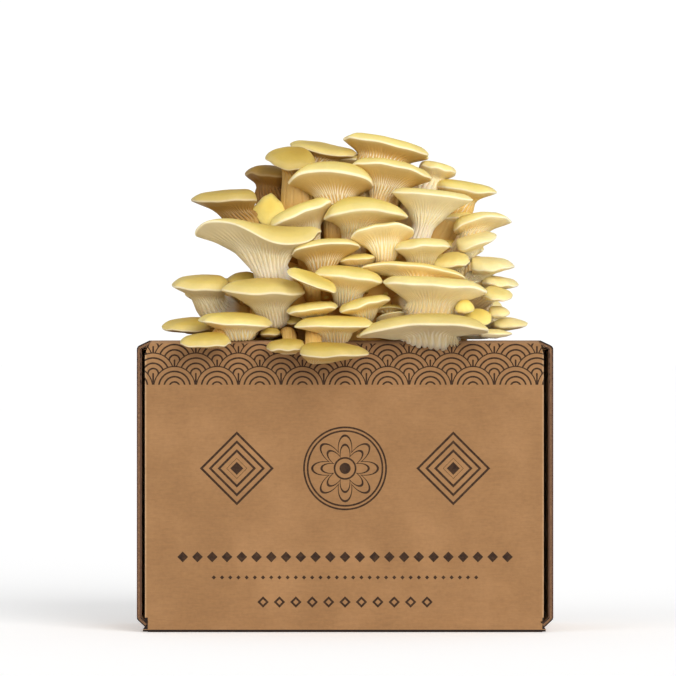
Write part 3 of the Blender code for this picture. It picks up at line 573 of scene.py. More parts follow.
# Geometry Nodes tree that raises the gills out of a mushroom's skin and grooves the room between them.
# Three orders of gills: the first runs down the stem, the second and third end before it
gills = dict(thickness=0.9, crest=0.3, groove=1.5, stemShare=0.3, unevenness=0.15, lumpSize=7,
    leastReach=0.12)
gillOrders = [  # gills for each first gill, turn of the first one, and the places it fades between
    dict(times=1, turn=0.0, fadeFrom=2.35, fadeTo=2.9),
    dict(times=1, turn=0.5, fadeFrom=1.8, fadeTo=2.15),
    dict(times=2, turn=0.25, fadeFrom=1.45, fadeTo=1.75),
]
gillDepth = dict(rim=(1.06, 1.7), foot=(2.3, 2.95), stem=(1.7, 2.25))  # places between which it changes


def makeGillTree():
    tree, add, given = newTree("gill ridges", dict.fromkeys(
        ("Thickness", "Crest", "Groove", "Stem share", "Unevenness"), "Float"))
    place, turn, room = [add("GeometryNodeInputNamedAttribute", {"Name": name}, data_type="FLOAT")
        for name in ("place", "gillTurn", "gillRoom")]
    halfGill = add("ShaderNodeMath", (given["Thickness"], mm), operation="MULTIPLY")
    reach = add("ShaderNodeMath", (halfGill, room), operation="DIVIDE")
    reach = add("ShaderNodeMath", (reach, gills["leastReach"]), operation="MAXIMUM")
    blades = []
    for order in gillOrders:
        times = order["times"]
        away = fromMiddle(add, turn, 1 / times, -order["turn"] * times)
        away = add("ShaderNodeMath", (away, reach), operation="DIVIDE")
        blade = add("ShaderNodeMath", (1.0, away), operation="SUBTRACT", use_clamp=True)
        fade = add("ShaderNodeMapRange", (place, order["fadeFrom"], order["fadeTo"], 1.0, 0.0),
            interpolation_type="SMOOTHSTEP")
        blades.append(add("ShaderNodeMath", (blade, fade), operation="MULTIPLY"))
    ridge = anyOf(add, blades)

    rim, foot, stem = [add("ShaderNodeMapRange", (place, *gillDepth[part], start, end),
        interpolation_type="SMOOTHSTEP") for part, start, end in (("rim", 0.0, 1.0), ("foot", 1.0, 0.0),
        ("stem", 1.0, given["Stem share"]))]
    share = add("ShaderNodeMath", (rim, foot), operation="MULTIPLY")
    depth = add("ShaderNodeMath", (share, stem), operation="MULTIPLY")
    both = add("ShaderNodeMath", (given["Crest"], given["Groove"]))
    down = add("ShaderNodeMath", (given["Groove"], -1.0), operation="MULTIPLY")
    height = add("ShaderNodeMath", (ridge, both, down), operation="MULTIPLY_ADD")
    height = add("ShaderNodeMath", (height, depth), operation="MULTIPLY")

    lumps = add("ShaderNodeTexNoise", {"Scale": perSize(gills["lumpSize"]), "Detail": 3.0})
    lump = add("ShaderNodeMath", (lumps, 0.5), operation="SUBTRACT")
    lump = add("ShaderNodeMath", (lump, given["Unevenness"]), operation="MULTIPLY")
    height = add("ShaderNodeMath", (lump, 2.0, height), operation="MULTIPLY_ADD")
    height = add("ShaderNodeMath", (height, mm), operation="MULTIPLY")
    normal = add("GeometryNodeInputNormal")
    push = add("ShaderNodeVectorMath", {0: normal, "Scale": height}, operation="SCALE")
    placed = add("GeometryNodeSetPosition", {"Geometry": given["Geometry"], "Offset": push})
    # where the crests are shown: the flesh paints them lighter, partly painted light against the grooves
    shown = add("ShaderNodeMath", (ridge, share), operation="MULTIPLY")
    stored = add("GeometryNodeStoreNamedAttribute", {"Geometry": placed, "Name": "ridge", "Value": shown},
        data_type="FLOAT", domain="POINT")
    endTree(add, stored, given["Finish"])
    return tree


# Each mushroom's own tone, with painted light and shade for where it sits: how brown its cap is, partly
# painted shade on shaded and hidden ones; how pale, partly painted light on the lit ones at the right; how
# deep its yellow is, deeper in shade; the painted shade beneath it; and how white its stem is
toneLayers = ("aged", "pale", "deep", "shaded", "bleached")
oysterTones = {
    "gold": (0, 0, 0.5, 0, 0.3), "amber": (0, 0, 0.55, 0.5, 0.1), "tan": (0.2, 0.05, 0.7, 0.6, 0.1),
    "olive": (0.4, 0, 0.8, 0.65, 0), "umber": (0.9, 0, 0.9, 0.5, 0), "deep": (0.2, 0, 0.9, 0.6, 0),
    "bright": (0, 0, 0, 0, 0.6), "cream": (0, 0.1, 0.3, 0, 0.7), "pale": (0, 0.3, 0.2, 0, 0.7),
    "grey": (0.12, 0.05, 0.75, 0.4, 1), "dim": (0.3, 0, 0.8, 0.4, 0), "lit": (0, 0, 0.15, 0.3, 0.5),
    "warm": (0, 0.1, 0.3, 0, 0.35), "honey": (0.05, 0, 0.35, 0, 0),
}


def buildOysters(finish):
    tree = makeGillTree()
    curves, skins = {}, {}
    for name in sorted(oysters, key=lambda name: bool(oysters[name]["host"])):
        row = oysters[name]
        cap = capFrame(row)
        curves[name], sideways = stemCurve(row, cap, curves.get(row["host"]))
        seed = list(oysters).index(name) + growth["seed"]
        points, faces, values = oysterSkin(row, cap, curves[name], sideways, seed)
        tint = np.tile(np.array(oysterTones[row["tone"]], dtype=float), (len(points), 1))
        skins.setdefault(row["host"] or name, []).append((points, faces, np.hstack([values, tint])))
    total = 0
    for name, parts in skins.items():
        piece = newMesh(f"{name}_oyster", *joinSkins([part[:2] for part in parts]))
        piece.data.shade_smooth()
        values = np.concatenate([part[2] for part in parts])
        for column, layer in zip(values.T, ("place", "gillTurn", "gillRoom") + toneLayers):
            attribute = piece.data.attributes.new(layer, "FLOAT", "POINT")
            attribute.data.foreach_set("value", column.copy())
        throughNodes(piece, tree, {"Thickness": gills["thickness"], "Crest": gills["crest"],
            "Groove": gills["groove"], "Stem share": gills["stemShare"],
            "Unevenness": gills["unevenness"], "Finish": finish})
        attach(piece, "root")
        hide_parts("oyster_" + name)
        piece.data.calc_loop_triangles()
        total += len(piece.data.loop_triangles)
    print("mushrooms made:", len(skins), "pieces,", total, "triangles")


# Geometry Nodes tree that ridges the knot like fused stems and scatters young buds over it
budding = dict(spacing=8.0, budSize=4.2, ridge=3.4, ridgeWidth=9.0, seed=7, upright=0.12, crowded=40000.0,
    sizes=(0.55, 1.3), standing=0.6, aged=0.05, deep=0.9,
    places=(2.8, 0.6, 2.4))  # of the knot, a bud's head and its stalk, as on a mushroom
budShape = dict(headRadius=0.5, headRise=1.0, headFlat=0.7, headSides=8, headRings=4, stalkTop=0.24,
    stalkFoot=0.34, stalkLength=1.2, stalkRise=-0.3, stalkSides=6)  # in shares of a bud's size


def makeKnotTree():
    tree, add, given = newTree("fused stems", {**dict.fromkeys(
        ("Spacing", "Bud size", "Ridge", "Ridge width"), "Float"), "Seed": "Int"})

    # upright ridges
    flat = add("ShaderNodeVectorMath", (add("GeometryNodeInputPosition"), (1, 1, budding["upright"])),
        operation="MULTIPLY")
    wider = add("ShaderNodeMath", (1.0, given["Ridge width"]), operation="DIVIDE")
    wave = add("ShaderNodeTexNoise", {"Vector": flat, "Scale": wider, "Detail": 2.0})
    swing = add("ShaderNodeMath", (wave, 0.5), operation="SUBTRACT")
    rise = add("ShaderNodeMath", (swing, given["Ridge"]), operation="MULTIPLY")
    normal = add("GeometryNodeInputNormal")
    push = add("ShaderNodeVectorMath", {0: normal, "Scale": rise}, operation="SCALE")
    ridged = add("GeometryNodeSetPosition", {"Geometry": given["Geometry"], "Offset": push})

    # a bud: a small round cap on a short stem, standing on its foot
    head = add("GeometryNodeMeshUVSphere", {"Segments": budShape["headSides"],
        "Rings": budShape["headRings"], "Radius": budShape["headRadius"]})
    head = add("GeometryNodeTransform", {"Geometry": head, "Translation": (0, 0, budShape["headRise"]),
        "Scale": (1, 1, budShape["headFlat"])})
    stalk = add("GeometryNodeMeshCone", {"Vertices": budShape["stalkSides"], "Depth": budShape["stalkLength"],
        "Radius Top": budShape["stalkTop"], "Radius Bottom": budShape["stalkFoot"]})
    stalk = add("GeometryNodeTransform", {"Geometry": stalk, "Translation": (0, 0, budShape["stalkRise"])})
    ridged, head, stalk = [add("GeometryNodeStoreNamedAttribute", {"Geometry": part, "Name": "place",
        "Value": place}, data_type="FLOAT", domain="POINT") for part, place in zip((ridged, head, stalk),
        budding["places"])]
    bud = add("GeometryNodeJoinGeometry", {0: [head, stalk]})
    bud = add("GeometryNodeSetShadeSmooth", {"Geometry": bud, "Shade Smooth": True})

    spots = add("GeometryNodeDistributePointsOnFaces", {"Mesh": ridged, "Distance Min": given["Spacing"],
        "Density Max": budding["crowded"], "Seed": given["Seed"]}, distribute_method="POISSON")
    turn = add("FunctionNodeAlignRotationToVector", {"Rotation": spots.outputs["Rotation"],
        "Vector": spots.outputs["Normal"], "Factor": budding["standing"]}, axis="Z")
    least, most = budding["sizes"]
    share = add("FunctionNodeRandomValue", {2: least, 3: most, "Seed": 3}, data_type="FLOAT")
    size = add("ShaderNodeMath", (share, given["Bud size"]), operation="MULTIPLY")
    buds = add("GeometryNodeInstanceOnPoints",
        {"Points": spots, "Instance": bud, "Rotation": turn, "Scale": size})
    toned = add("GeometryNodeJoinGeometry", {0: [ridged, buds]})
    # the knot's tones as on a mushroom: a little brown and painted shade, and a deep yellow
    for name in ("aged", "deep"):
        toned = add("GeometryNodeStoreNamedAttribute", {"Geometry": toned, "Name": name,
            "Value": budding[name]}, data_type="FLOAT", domain="POINT")
    endTree(add, toned, given["Finish"])
    return tree


def buildKnot(finish):  # the dome that all stems leave from, down to the block under the window
    foot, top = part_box("stem_knot")[0].z / mm, carton["height"]
    turns = np.arange(knot["columns"]) * 2 * math.pi / knot["columns"]
    levels = [foot, (foot + top) / 2]
    levels += [top + knot["rise"] * math.sin(at) for at in np.linspace(0, math.pi / 2, knot["rows"])[:-1]]
    rings = []
    for level in levels:
        above = max(0, level - top) / knot["rise"]
        share = math.sqrt(max(0, 1 - above ** 2))
        across, inward = knot["halfWidth"] * share * np.cos(turns), knot["halfDepth"] * share * np.sin(turns)
        rings.append(np.stack([across, inward, np.full(len(turns), level)], axis=1))
    piece = newMesh("fused_stems", *closedSkin(np.array(rings), (0, 0, foot), (0, 0, top + knot["rise"])))
    outward(piece)
    piece.data.shade_smooth()
    throughNodes(piece, makeKnotTree(), {"Spacing": budding["spacing"] * mm,
        "Bud size": budding["budSize"] * mm, "Ridge": budding["ridge"] * mm,
        "Ridge width": budding["ridgeWidth"] * mm, "Seed": budding["seed"], "Finish": finish})
    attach(piece, "root")
    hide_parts("stem_knot")
    print("knot made:", len(piece.data.polygons), "faces")


# Carton: one folded sheet of corrugated board, made as two liners with the fluted core set back between them
box = dict(
    liner=0.4, wallLiner=0.7,  # thickness of each liner of the front and of the side walls
    setBack=0.7, overlap=0.05,  # the core ends this far inside a cut edge and runs this far into the liners
    frontLeft=-122.0, frontRight=121.1, frontFoot=0.5, backFoot=1.5,
    lidHalf=117.7, lidEnd=0.9,  # the lid stops short of the side walls' bent ends
    cornerCut=5.4,  # height of the front panel's cut corners
    foldRadius=2.6, wallRadius=3.0, tabRise=3.7, tabRun=7.8, footBend=8.0, footReach=6.3, footLift=2.2,
    notchLow=1.9, notchHigh=6.6, notch=1.9, toe=1.3,  # the edge gives way to the walls' feet
    notchOver=0.4, notchUnder=0.3, frontSlack=0.1, backSlack=2.0,
    flapReach=86.0, flapHalfDepth=42.0, flapEnd=4, floorClear=0.6,
    windowWidth=162.0, windowDepth=68.0, windowRound=26.0, windowSteps=12, cutBelow=8, cutAbove=5,
    columns=40, wallColumns=12, wrapStep=6, wallStep=8, innerStep=12, sharp=25,
    flutePitch=6.4, fluteSteps=10.0, flutePaper=0.3, fluteWidth=1.0, fluteBack=0.5,
    bulge=0.35, ripple=0.12, rippleWidth=17, rippleTurn=3, bulgeDepth=0.5, bulgeTop=4,
)


def filletedPath(corners, radius, steps=6):
    # rounds the corners of an open path, each no further than half way to the next
    path = [Vector(corners[0])]
    for before, corner, after in zip(corners, corners[1:], corners[2:]):
        before, corner, after = Vector(before), Vector(corner), Vector(after)
        back, ahead = (before - corner).normalized(), (after - corner).normalized()
        half = back.angle(ahead) / 2
        run = min(radius / math.tan(half), (before - corner).length * 0.49, (after - corner).length * 0.49)
        start, end = corner + back * run, corner + ahead * run
        for step in range(steps + 1):
            share = step / steps
            path.append(start.lerp(corner, share).lerp(corner.lerp(end, share), share))
    path.append(Vector(corners[-1]))
    return path


def refinePath(path, longest):
    fine = [path[0]]
    for start, end in zip(path, path[1:]):
        count = max(1, math.ceil((end - start).length / longest))
        fine += [start.lerp(end, step / count) for step in range(1, count + 1)]
    return fine


def thickSheet(path, low, high, edges, place, columns):
    # a closed slab that follows a path, between two depths under its right hand side; edges gives how far it
    # reaches to either side at a point, and place turns a point of the section and that reach into a spot
    points, faces = [], []
    last = len(path) - 1
    for at, spot in enumerate(path):
        ahead = path[min(at + 1, last)] - path[max(at - 1, 0)]
        normal = Vector((ahead.y, -ahead.x)).normalized()
        left, right = edges(spot)
        for depth in (low, high):
            inner = spot - normal * depth
            for column in range(columns + 1):
                points.append(place(inner, left + (right - left) * column / columns))
    width = columns + 1
    row = 2 * width
    for at in range(last):
        base = at * row
        for column in range(columns):
            spot = base + column
            faces.append((spot, spot + 1, spot + 1 + row, spot + row))
            spot += width
            faces.append((spot + 1, spot, spot + row, spot + 1 + row))
        faces.append((base + width, base, base + row, base + row + width))
        base += columns
        faces.append((base, base + width, base + width + row, base + row))
    for base, turned in ((0, False), (last * row, True)):
        for column in range(columns):
            side = (base + column, base + column + width, base + column + width + 1, base + column + 1)
            faces.append(tuple(reversed(side)) if turned else side)
    return points, faces


def boardLayers(path, edges, place, columns, liner):  # outer and inner liner, and the core
    board, overlap = carton["board"], box["overlap"]

    def inside(spot):
        left, right = edges(spot)
        return left + box["setBack"], right - box["setBack"]

    liners = joinSkins([thickSheet(path, 0, liner, edges, place, columns),
        thickSheet(path, board - liner, board, edges, place, columns)])
    return liners, thickSheet(path, liner - overlap, board - liner + overlap, inside, place, columns)


def windowOutline():  # a rounded rectangle
    outline = []
    for corner in range(4):
        toward = (corner + 0.5) * math.pi / 2
        middleX = math.copysign(box["windowWidth"] / 2 - box["windowRound"], math.cos(toward))
        middleY = math.copysign(box["windowDepth"] / 2 - box["windowRound"], math.sin(toward))
        for step in range(box["windowSteps"] + 1):
            angle = (corner + step / box["windowSteps"]) * math.pi / 2
            outline.append((middleX + box["windowRound"] * math.cos(angle),
                middleY + box["windowRound"] * math.sin(angle)))
    return outline


def cutWindow(obj, outline):
    count = len(outline)
    low, high = carton["height"] - box["cutBelow"], carton["height"] + box["cutAbove"]
    faces = [tuple(reversed(range(count))), tuple(range(count, 2 * count))]
    faces += [(at, (at + 1) % count, (at + 1) % count + count, at + count) for at in range(count)]
    cutter = newMesh("window cutter", [(x, y, level) for level in (low, high) for x, y in outline], faces)
    modifier = obj.modifiers.new("window", "BOOLEAN")
    modifier.operation = "DIFFERENCE"
    modifier.solver = "EXACT"
    modifier.object = cutter
    keepResult(obj, modifier)
    bpy.data.objects.remove(cutter)


def buildCarton(liner, core):
    height, board = carton["height"], carton["board"]
    halfWidth, halfDepth = carton["width"] / 2, carton["depth"] / 2
    lidHalf = box["lidHalf"]

    # back, lid and front panel in one, in section from the back's foot over the top to the front's foot
    corners = [(halfDepth, box["backFoot"]), (halfDepth, height), (-halfDepth, height),
        (-halfDepth, box["frontFoot"])]
    wrapPath = refinePath(filletedPath(corners, box["foldRadius"]), box["wrapStep"])
    for level in (box["notchHigh"] + box["notchOver"], box["notchHigh"], box["notchLow"],
            box["notchLow"] - box["notchUnder"]):
        after = max(at for at, spot in enumerate(wrapPath) if spot.y > level) + 1
        wrapPath.insert(after, Vector((-halfDepth, level)))

    def wrapEdges(spot):
        if abs(spot.x) < halfDepth - box["lidEnd"]:
            return -lidHalf, lidHalf
        if spot.x < 0 and spot.y < box["notchLow"]:
            return box["frontLeft"] - box["toe"], box["frontRight"] + box["toe"]
        if spot.y < box["notchHigh"] + (box["frontSlack"] if spot.x < 0 else box["backSlack"]):
            return box["frontLeft"] + box["notch"], box["frontRight"] - box["notch"]
        share = min(1, (height - spot.y) / box["cornerCut"])
        return (-lidHalf + (box["frontLeft"] + lidHalf) * share,
            lidHalf + (box["frontRight"] - lidHalf) * share)

    def wrapPlace(spot, across):  # the front panel bulges a little between its edges
        bend = 0
        if spot.x < -halfDepth + board + box["bulgeDepth"] and spot.y < height - box["bulgeTop"]:
            rise = spot.y / height
            bend = box["bulge"] * math.sin(math.pi * rise) * math.cos(across / halfWidth * math.pi / 2)
            bend += box["ripple"] * math.sin(across / box["rippleWidth"] + box["rippleTurn"] * rise)
        return (across, spot.x - bend + box["bulge"] * 0.5, spot.y)

    liners, middle = boardLayers(wrapPath, wrapEdges, wrapPlace, box["columns"], box["liner"])
    wrap, wrapCore = newMesh("carton_wrap", *liners), newMesh("carton_wrap_core", *middle)

    # side walls with their bent ends, in section from the tab down to the foot; flaps under the lid; floor
    corners = [(-halfWidth + box["tabRun"], height), (-halfWidth, height - box["tabRise"]),
        (-halfWidth, box["footBend"]), (-halfWidth + box["footReach"], box["footLift"])]
    wallPath = refinePath(filletedPath(corners, box["wallRadius"]), box["wallStep"])
    inner = height - board - gap
    flapEnds = [Vector((-box["flapReach"], inner)), Vector((-halfWidth + box["flapEnd"], inner))]
    end = halfWidth - box["footReach"] - gap
    floorDepth = halfDepth - board - box["floorClear"]
    walls, wallCores = [], []
    for path, reach, sides in ((wallPath, halfDepth, (-1, 1)),
            (refinePath(flapEnds, box["innerStep"]), box["flapHalfDepth"], (-1, 1)),
            (refinePath([Vector((-end, 0)), Vector((end, 0))], box["innerStep"]), floorDepth, (-1,))):
        for side in sides:
            liners, middle = boardLayers(path, lambda spot: (-reach, reach),
                lambda spot, across: (-side * spot.x, across, spot.y), box["wallColumns"], box["wallLiner"])
            walls.append(liners)
            wallCores.append(middle)
    wallMesh = newMesh("carton_walls", *joinSkins(walls))
    wallCore = newMesh("carton_wall_cores", *joinSkins(wallCores))

    for obj in (wrap, wrapCore, wallMesh, wallCore):
        outward(obj)
    outline = windowOutline()
    cutWindow(wrap, outline)
    cutWindow(wrapCore, outline)
    for obj, finish in ((wrap, liner), (wallMesh, liner), (wrapCore, core), (wallCore, core)):
        obj.data.materials.clear()
        obj.data.materials.append(finish)
        obj.data.shade_smooth()
        obj.data.set_sharp_from_angle(angle=math.radians(box["sharp"]))
        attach(obj, "root")
        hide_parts("carton")
    flutes = buildFlutes(outline, core)
    print("carton made:", [len(obj.data.polygons) for obj in (wrap, wrapCore, wallMesh, wallCore, flutes)])


# Geometry Nodes tree that lays a wave of fluting paper along a path, seen where the board is cut across
def makeFluteTree():
    tree, add, given = newTree("fluting", dict.fromkeys(("Pitch", "Height", "Thickness", "Width"), "Float"))
    path = add("GeometryNodeMeshToCurve", {"Mesh": given["Geometry"]})
    spacing = add("ShaderNodeMath", (given["Pitch"], box["fluteSteps"]), operation="DIVIDE")
    fine = add("GeometryNodeResampleCurve", {"Curve": path, "Length": spacing}, mode="LENGTH")
    along = add("GeometryNodeSplineParameter").outputs["Length"]
    turns = add("ShaderNodeMath", (along, given["Pitch"]), operation="DIVIDE")
    turns = add("ShaderNodeMath", (turns, 2 * math.pi), operation="MULTIPLY")
    wave = add("ShaderNodeMath", (turns,), operation="SINE")
    half = add("ShaderNodeMath", (given["Height"], 0.5), operation="MULTIPLY")
    rise = add("ShaderNodeMath", (wave, half), operation="MULTIPLY")
    lift = add("ShaderNodeCombineXYZ", {"Z": rise})
    waved = add("GeometryNodeSetPosition", {"Geometry": fine, "Offset": lift})
    upright = add("GeometryNodeSetCurveNormal", {"Curve": waved}, mode="Z_UP")
    paper = add("GeometryNodeCurvePrimitiveQuadrilateral",
        {"Width": given["Width"], "Height": given["Thickness"]})
    strip = add("GeometryNodeCurveToMesh", {"Curve": upright, "Profile Curve": paper})
    endTree(add, strip, given["Finish"])
    return tree


def buildFlutes(outline, core):  # the wave shows round the window in the lid
    level = carton["height"] - carton["board"] / 2
    wider, deeper = [1 + box["fluteBack"] / (box[side] / 2) for side in ("windowWidth", "windowDepth")]
    count = len(outline)
    obj = newMesh("carton_flutes", [(x * wider, y * deeper, level) for x, y in outline], [],
        [(at, (at + 1) % count) for at in range(count)])
    height = carton["board"] - 2 * box["liner"] - box["flutePaper"]
    throughNodes(obj, makeFluteTree(), {"Pitch": box["flutePitch"] * mm, "Height": height * mm,
        "Thickness": box["flutePaper"] * mm, "Width": box["fluteWidth"] * mm, "Finish": core})
    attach(obj, "root")
    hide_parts("carton")
    return obj


# Finishes

flesh = dict(
    # deepTop is partly painted shade for shaded caps; both tops' palest stop at the rim is partly a painted
    # highlight
    deepTop=[(0, "#C09A33"), (0.45, "#CDAC44"), (0.85, "#D8BD5E"), (0.965, "#E2CB7C"), (0.99, "#F8EAC0")],
    brightTop=[(0, "#EFD162"), (0.45, "#F2D870"), (0.85, "#F3DE80"), (0.965, "#F5E398"), (0.99, "#FDF4D2")],
    under=[(0, "#F2DEA6"), (0.1, "#E8C97F"), (0.5, "#EFC873"), (1, "#EDC267")], whiteUnder="#EFDFB0",
    # painted shade: the tint beneath shaded caps, the amber of stems in the cluster's dense front, the darker
    # foot of white stems and the brown skin over shaded caps
    brownUnder="#A88A50", crest="#FDF4D6", upperStem="#E4BF72", whiteStem="#FDF9EE", frontStem="#D8A042",
    backStem="#E8C785", whiteFoot="#E3BC68", agedSkin="#A58A5C", paleSkin="#F4EBCE",
    backFrom=4, backTo=24, blotch=12, speck=1.6, skin=0.3,  # in mm
    blotchShade=(0.93, 1.05), speckShade=(0.985, 1.01),
    crestFrom=0.25, crestTo=0.8, crestAged=0.15, agedFully=0.55,  # crests fade where a cap is browner and in painted shade
    stemPlaces=(1.6, 2.25), footPlaces=(2.25, 2.75), rimPlaces=(1.0, 1.03),  # where one runs into the next
)
noiseRange = (0.3, 0.7)  # where nearly all values of a noise lie


def makeFlesh():
    # golden oyster flesh, grown: a moist thin skin over white flesh that lets light in a few millimetres,
    # so thin rims glow and the grooves between gills stay warm and dark
    material, shader, add = newMaterial("oyster flesh")
    place, ridge, aged, pale, deep, shaded, bleached = [add("ShaderNodeAttribute",
        attribute_name=name).outputs["Fac"] for name in ("place", "ridge") + toneLayers]
    where = add("ShaderNodeTexCoord").outputs["Object"]
    blotches = add("ShaderNodeTexNoise", {"Vector": where, "Scale": perSize(flesh["blotch"]), "Detail": 4.0})
    specks = add("ShaderNodeTexNoise", {"Vector": where, "Scale": perSize(flesh["speck"]), "Detail": 3.0})

    # cap, from its middle to the thin light rim; the deep tops are partly painted shade, and the palest stop
    # at the rim partly a painted highlight
    bright = add("ShaderNodeValToRGB", (place,), flesh["brightTop"])
    strong = add("ShaderNodeValToRGB", (place,), flesh["deepTop"])
    top = add("ShaderNodeMix", {0: deep, 6: bright, 7: strong}, data_type="RGBA")

    # underside, from the rim to the stem, with painted shade beneath the shaded caps and lighter crests on
    # its gills
    inward = add("ShaderNodeMath", (place, 1.0), operation="SUBTRACT")
    under = add("ShaderNodeValToRGB", (inward,), flesh["under"])
    # lighter crests, partly the gills' paler edges and partly painted light against the darker grooves
    crest = add("ShaderNodeMapRange", (ridge, flesh["crestFrom"], flesh["crestTo"]),
        interpolation_type="SMOOTHSTEP")
    young = add("ShaderNodeMapRange", (aged, 0.0, flesh["agedFully"], 1.0, flesh["crestAged"]))
    crest = add("ShaderNodeMath", (crest, young), operation="MULTIPLY")
    for share, tint, blend in ((bleached, "whiteUnder", "MIX"), (shaded, "brownUnder", "MULTIPLY"),
            (crest, "crest", "MIX")):
        under = add("ShaderNodeMix", {0: share, 6: under, 7: linear(flesh[tint])}, data_type="RGBA",
            blend_type=blend)

    # stem, amber down in the dense front of the cluster as painted shade and warm bounced light, and cream at
    # its back, unless it is a white one; the foot of a white stem is darker, painted shade deep in the
    # cluster
    depth = add("ShaderNodeSeparateXYZ", (where,)).outputs["Y"]
    atBack = add("ShaderNodeMapRange", (depth, flesh["backFrom"] * mm, flesh["backTo"] * mm),
        interpolation_type="SMOOTHSTEP")
    foot = add("ShaderNodeMix", {0: atBack, 6: linear(flesh["frontStem"]), 7: linear(flesh["backStem"])},
        data_type="RGBA")
    upper, lower = [add("ShaderNodeMix", {0: bleached, 6: brown, 7: linear(flesh[white])}, data_type="RGBA")
        for brown, white in ((linear(flesh["upperStem"]), "whiteStem"), (foot, "whiteFoot"))]

    # one over the other down the mushroom
    downStem, onStem, below = [add("ShaderNodeMapRange", (place, *flesh[limits]),
        interpolation_type="SMOOTHSTEP") for limits in ("footPlaces", "stemPlaces", "rimPlaces")]
    stem = add("ShaderNodeMix", {0: downStem, 6: upper, 7: lower}, data_type="RGBA")
    under = add("ShaderNodeMix", {0: onStem, 6: under, 7: stem}, data_type="RGBA")
    colour = add("ShaderNodeMix", {0: below, 6: top, 7: under}, data_type="RGBA")
    # brown over all of it, partly the cap's own tone and partly painted shade on shaded and hidden ones; pale
    # over all of it, partly painted light on the lit ones at the right
    for share, tint, blend in ((aged, "agedSkin", "MULTIPLY"), (pale, "paleSkin", "MIX")):
        colour = add("ShaderNodeMix", {0: share, 6: colour, 7: linear(flesh[tint])}, data_type="RGBA",
            blend_type=blend)
    patches = add("ShaderNodeMapRange", (blotches, *noiseRange, *flesh["blotchShade"]))
    mottle = add("ShaderNodeMapRange", (specks, *noiseRange, *flesh["speckShade"]))
    shade = add("ShaderNodeMath", (patches, mottle), operation="MULTIPLY")
    fillInputs(shader, {
        "Base Color": add("ShaderNodeVectorMath", {0: colour, "Scale": shade}, operation="SCALE"),
        "Normal": add("ShaderNodeBump", {"Strength": 0.2, "Distance": flesh["skin"] * mm, "Height": specks}),
        "Roughness": 0.5, "IOR": 1.4, "Subsurface Weight": 0.25, "Subsurface Radius": (1.0, 0.75, 0.4),
        "Subsurface Scale": 2.0 * mm})
    return material


# Printed ornament on the front panel, in dark brown ink: mm from the middle of the panel's foot
ornament = dict(
    bandLow=151.0, bandHigh=176.2, scallop=26.0, scallopRise=8.2, scallopSunk=1.5, scallopRows=4,
    ringSpacing=3.2, line=1.05,
    rosetteHeight=100.0, rosetteRings=(25.0, 22.8, 6.4), ringHalf=0.55, petalReach=(10.5, 9.5), petals=8,
    petalLines=(1.0, 0.72), petalHalf=0.7, heart=3.4,
    diamondAway=66.0, diamondSize=25.0, diamondSpacing=5.4, diamondLine=1.9, diamondGap=6.0, diamondCore=4.0,
    rows=[dict(height=46.0, half=103.5, pitch=9.0, size=3.3, hole=0.0),
        dict(height=33.5, half=82.5, pitch=5.0, size=1.3, hole=0.0),
        dict(height=18.5, half=55.0, pitch=10.0, size=3.5, hole=1.7)],
)


def evenLines(add, distance, spacing, width):  # 1 on lines of one width at one spacing
    away = fromMiddle(add, distance, spacing, 0.5)
    return add("ShaderNodeMath", (away, (spacing - width) / 2), operation="GREATER_THAN")


def lengthOf(add, across, up):
    return add("ShaderNodeVectorMath", (add("ShaderNodeCombineXYZ", (across, up)),), operation="LENGTH")


def scallopBand(add, x, z):  # rows of nested arches, each row standing in front of the one above
    shown = None
    for row in reversed(range(ornament["scallopRows"])):
        across = fromMiddle(add, x, ornament["scallop"], 0.5 * (row % 2))
        level = ornament["bandLow"] + row * ornament["scallopRise"] - ornament["scallopSunk"]
        up = add("ShaderNodeMath", (z, level), operation="SUBTRACT")
        distance = lengthOf(add, across, add("ShaderNodeMath", (up, 0.0), operation="MAXIMUM"))
        inFront = add("ShaderNodeMath", (distance, ornament["scallop"] / 2), operation="LESS_THAN")
        shown = distance if shown is None else add("ShaderNodeMix", {0: inFront, 2: shown, 3: distance},
            data_type="FLOAT")
    lines = evenLines(add, shown, ornament["ringSpacing"], ornament["line"])
    band = within(add, z, ornament["bandLow"], ornament["bandHigh"])
    return add("ShaderNodeMath", (lines, band), operation="MULTIPLY")


def rosette(add, x, z):  # petals in two lines, rings and a heart
    up = add("ShaderNodeMath", (z, ornament["rosetteHeight"]), operation="SUBTRACT")
    distance = lengthOf(add, x, up)
    angle = add("ShaderNodeMath", (up, x), operation="ARCTAN2")
    turned = add("ShaderNodeMath", (angle, ornament["petals"] / 2), operation="MULTIPLY")
    swing = add("ShaderNodeMath", (turned,), operation="COSINE")
    swing = add("ShaderNodeMath", (swing,), operation="ABSOLUTE")
    base, reach = ornament["petalReach"]
    edge = add("ShaderNodeMath", (swing, reach, base), operation="MULTIPLY_ADD")
    shapes = []
    for factor in ornament["petalLines"]:
        petal = add("ShaderNodeMath", (edge, factor), operation="MULTIPLY")
        away = add("ShaderNodeMath", (distance, petal), operation="SUBTRACT")
        shapes.append(within(add, away, -ornament["petalHalf"], ornament["petalHalf"]))
    for radius in ornament["rosetteRings"]:
        shapes.append(within(add, distance, radius - ornament["ringHalf"], radius + ornament["ringHalf"]))
    return anyOf(add, shapes + [within(add, distance, -1, ornament["heart"])])


def nestedDiamonds(add, x, z):  # one on either side of the rosette
    side = add("ShaderNodeMath", (x,), operation="ABSOLUTE")
    distance = add("ShaderNodeMath", (awayFrom(add, side, ornament["diamondAway"]),
        awayFrom(add, z, ornament["rosetteHeight"])))
    lines = evenLines(add, distance, ornament["diamondSpacing"], ornament["diamondLine"])
    lines = add("ShaderNodeMath", (lines, within(add, distance, ornament["diamondGap"],
        ornament["diamondSize"])), operation="MULTIPLY")
    return anyOf(add, [lines, within(add, distance, -1, ornament["diamondCore"])])


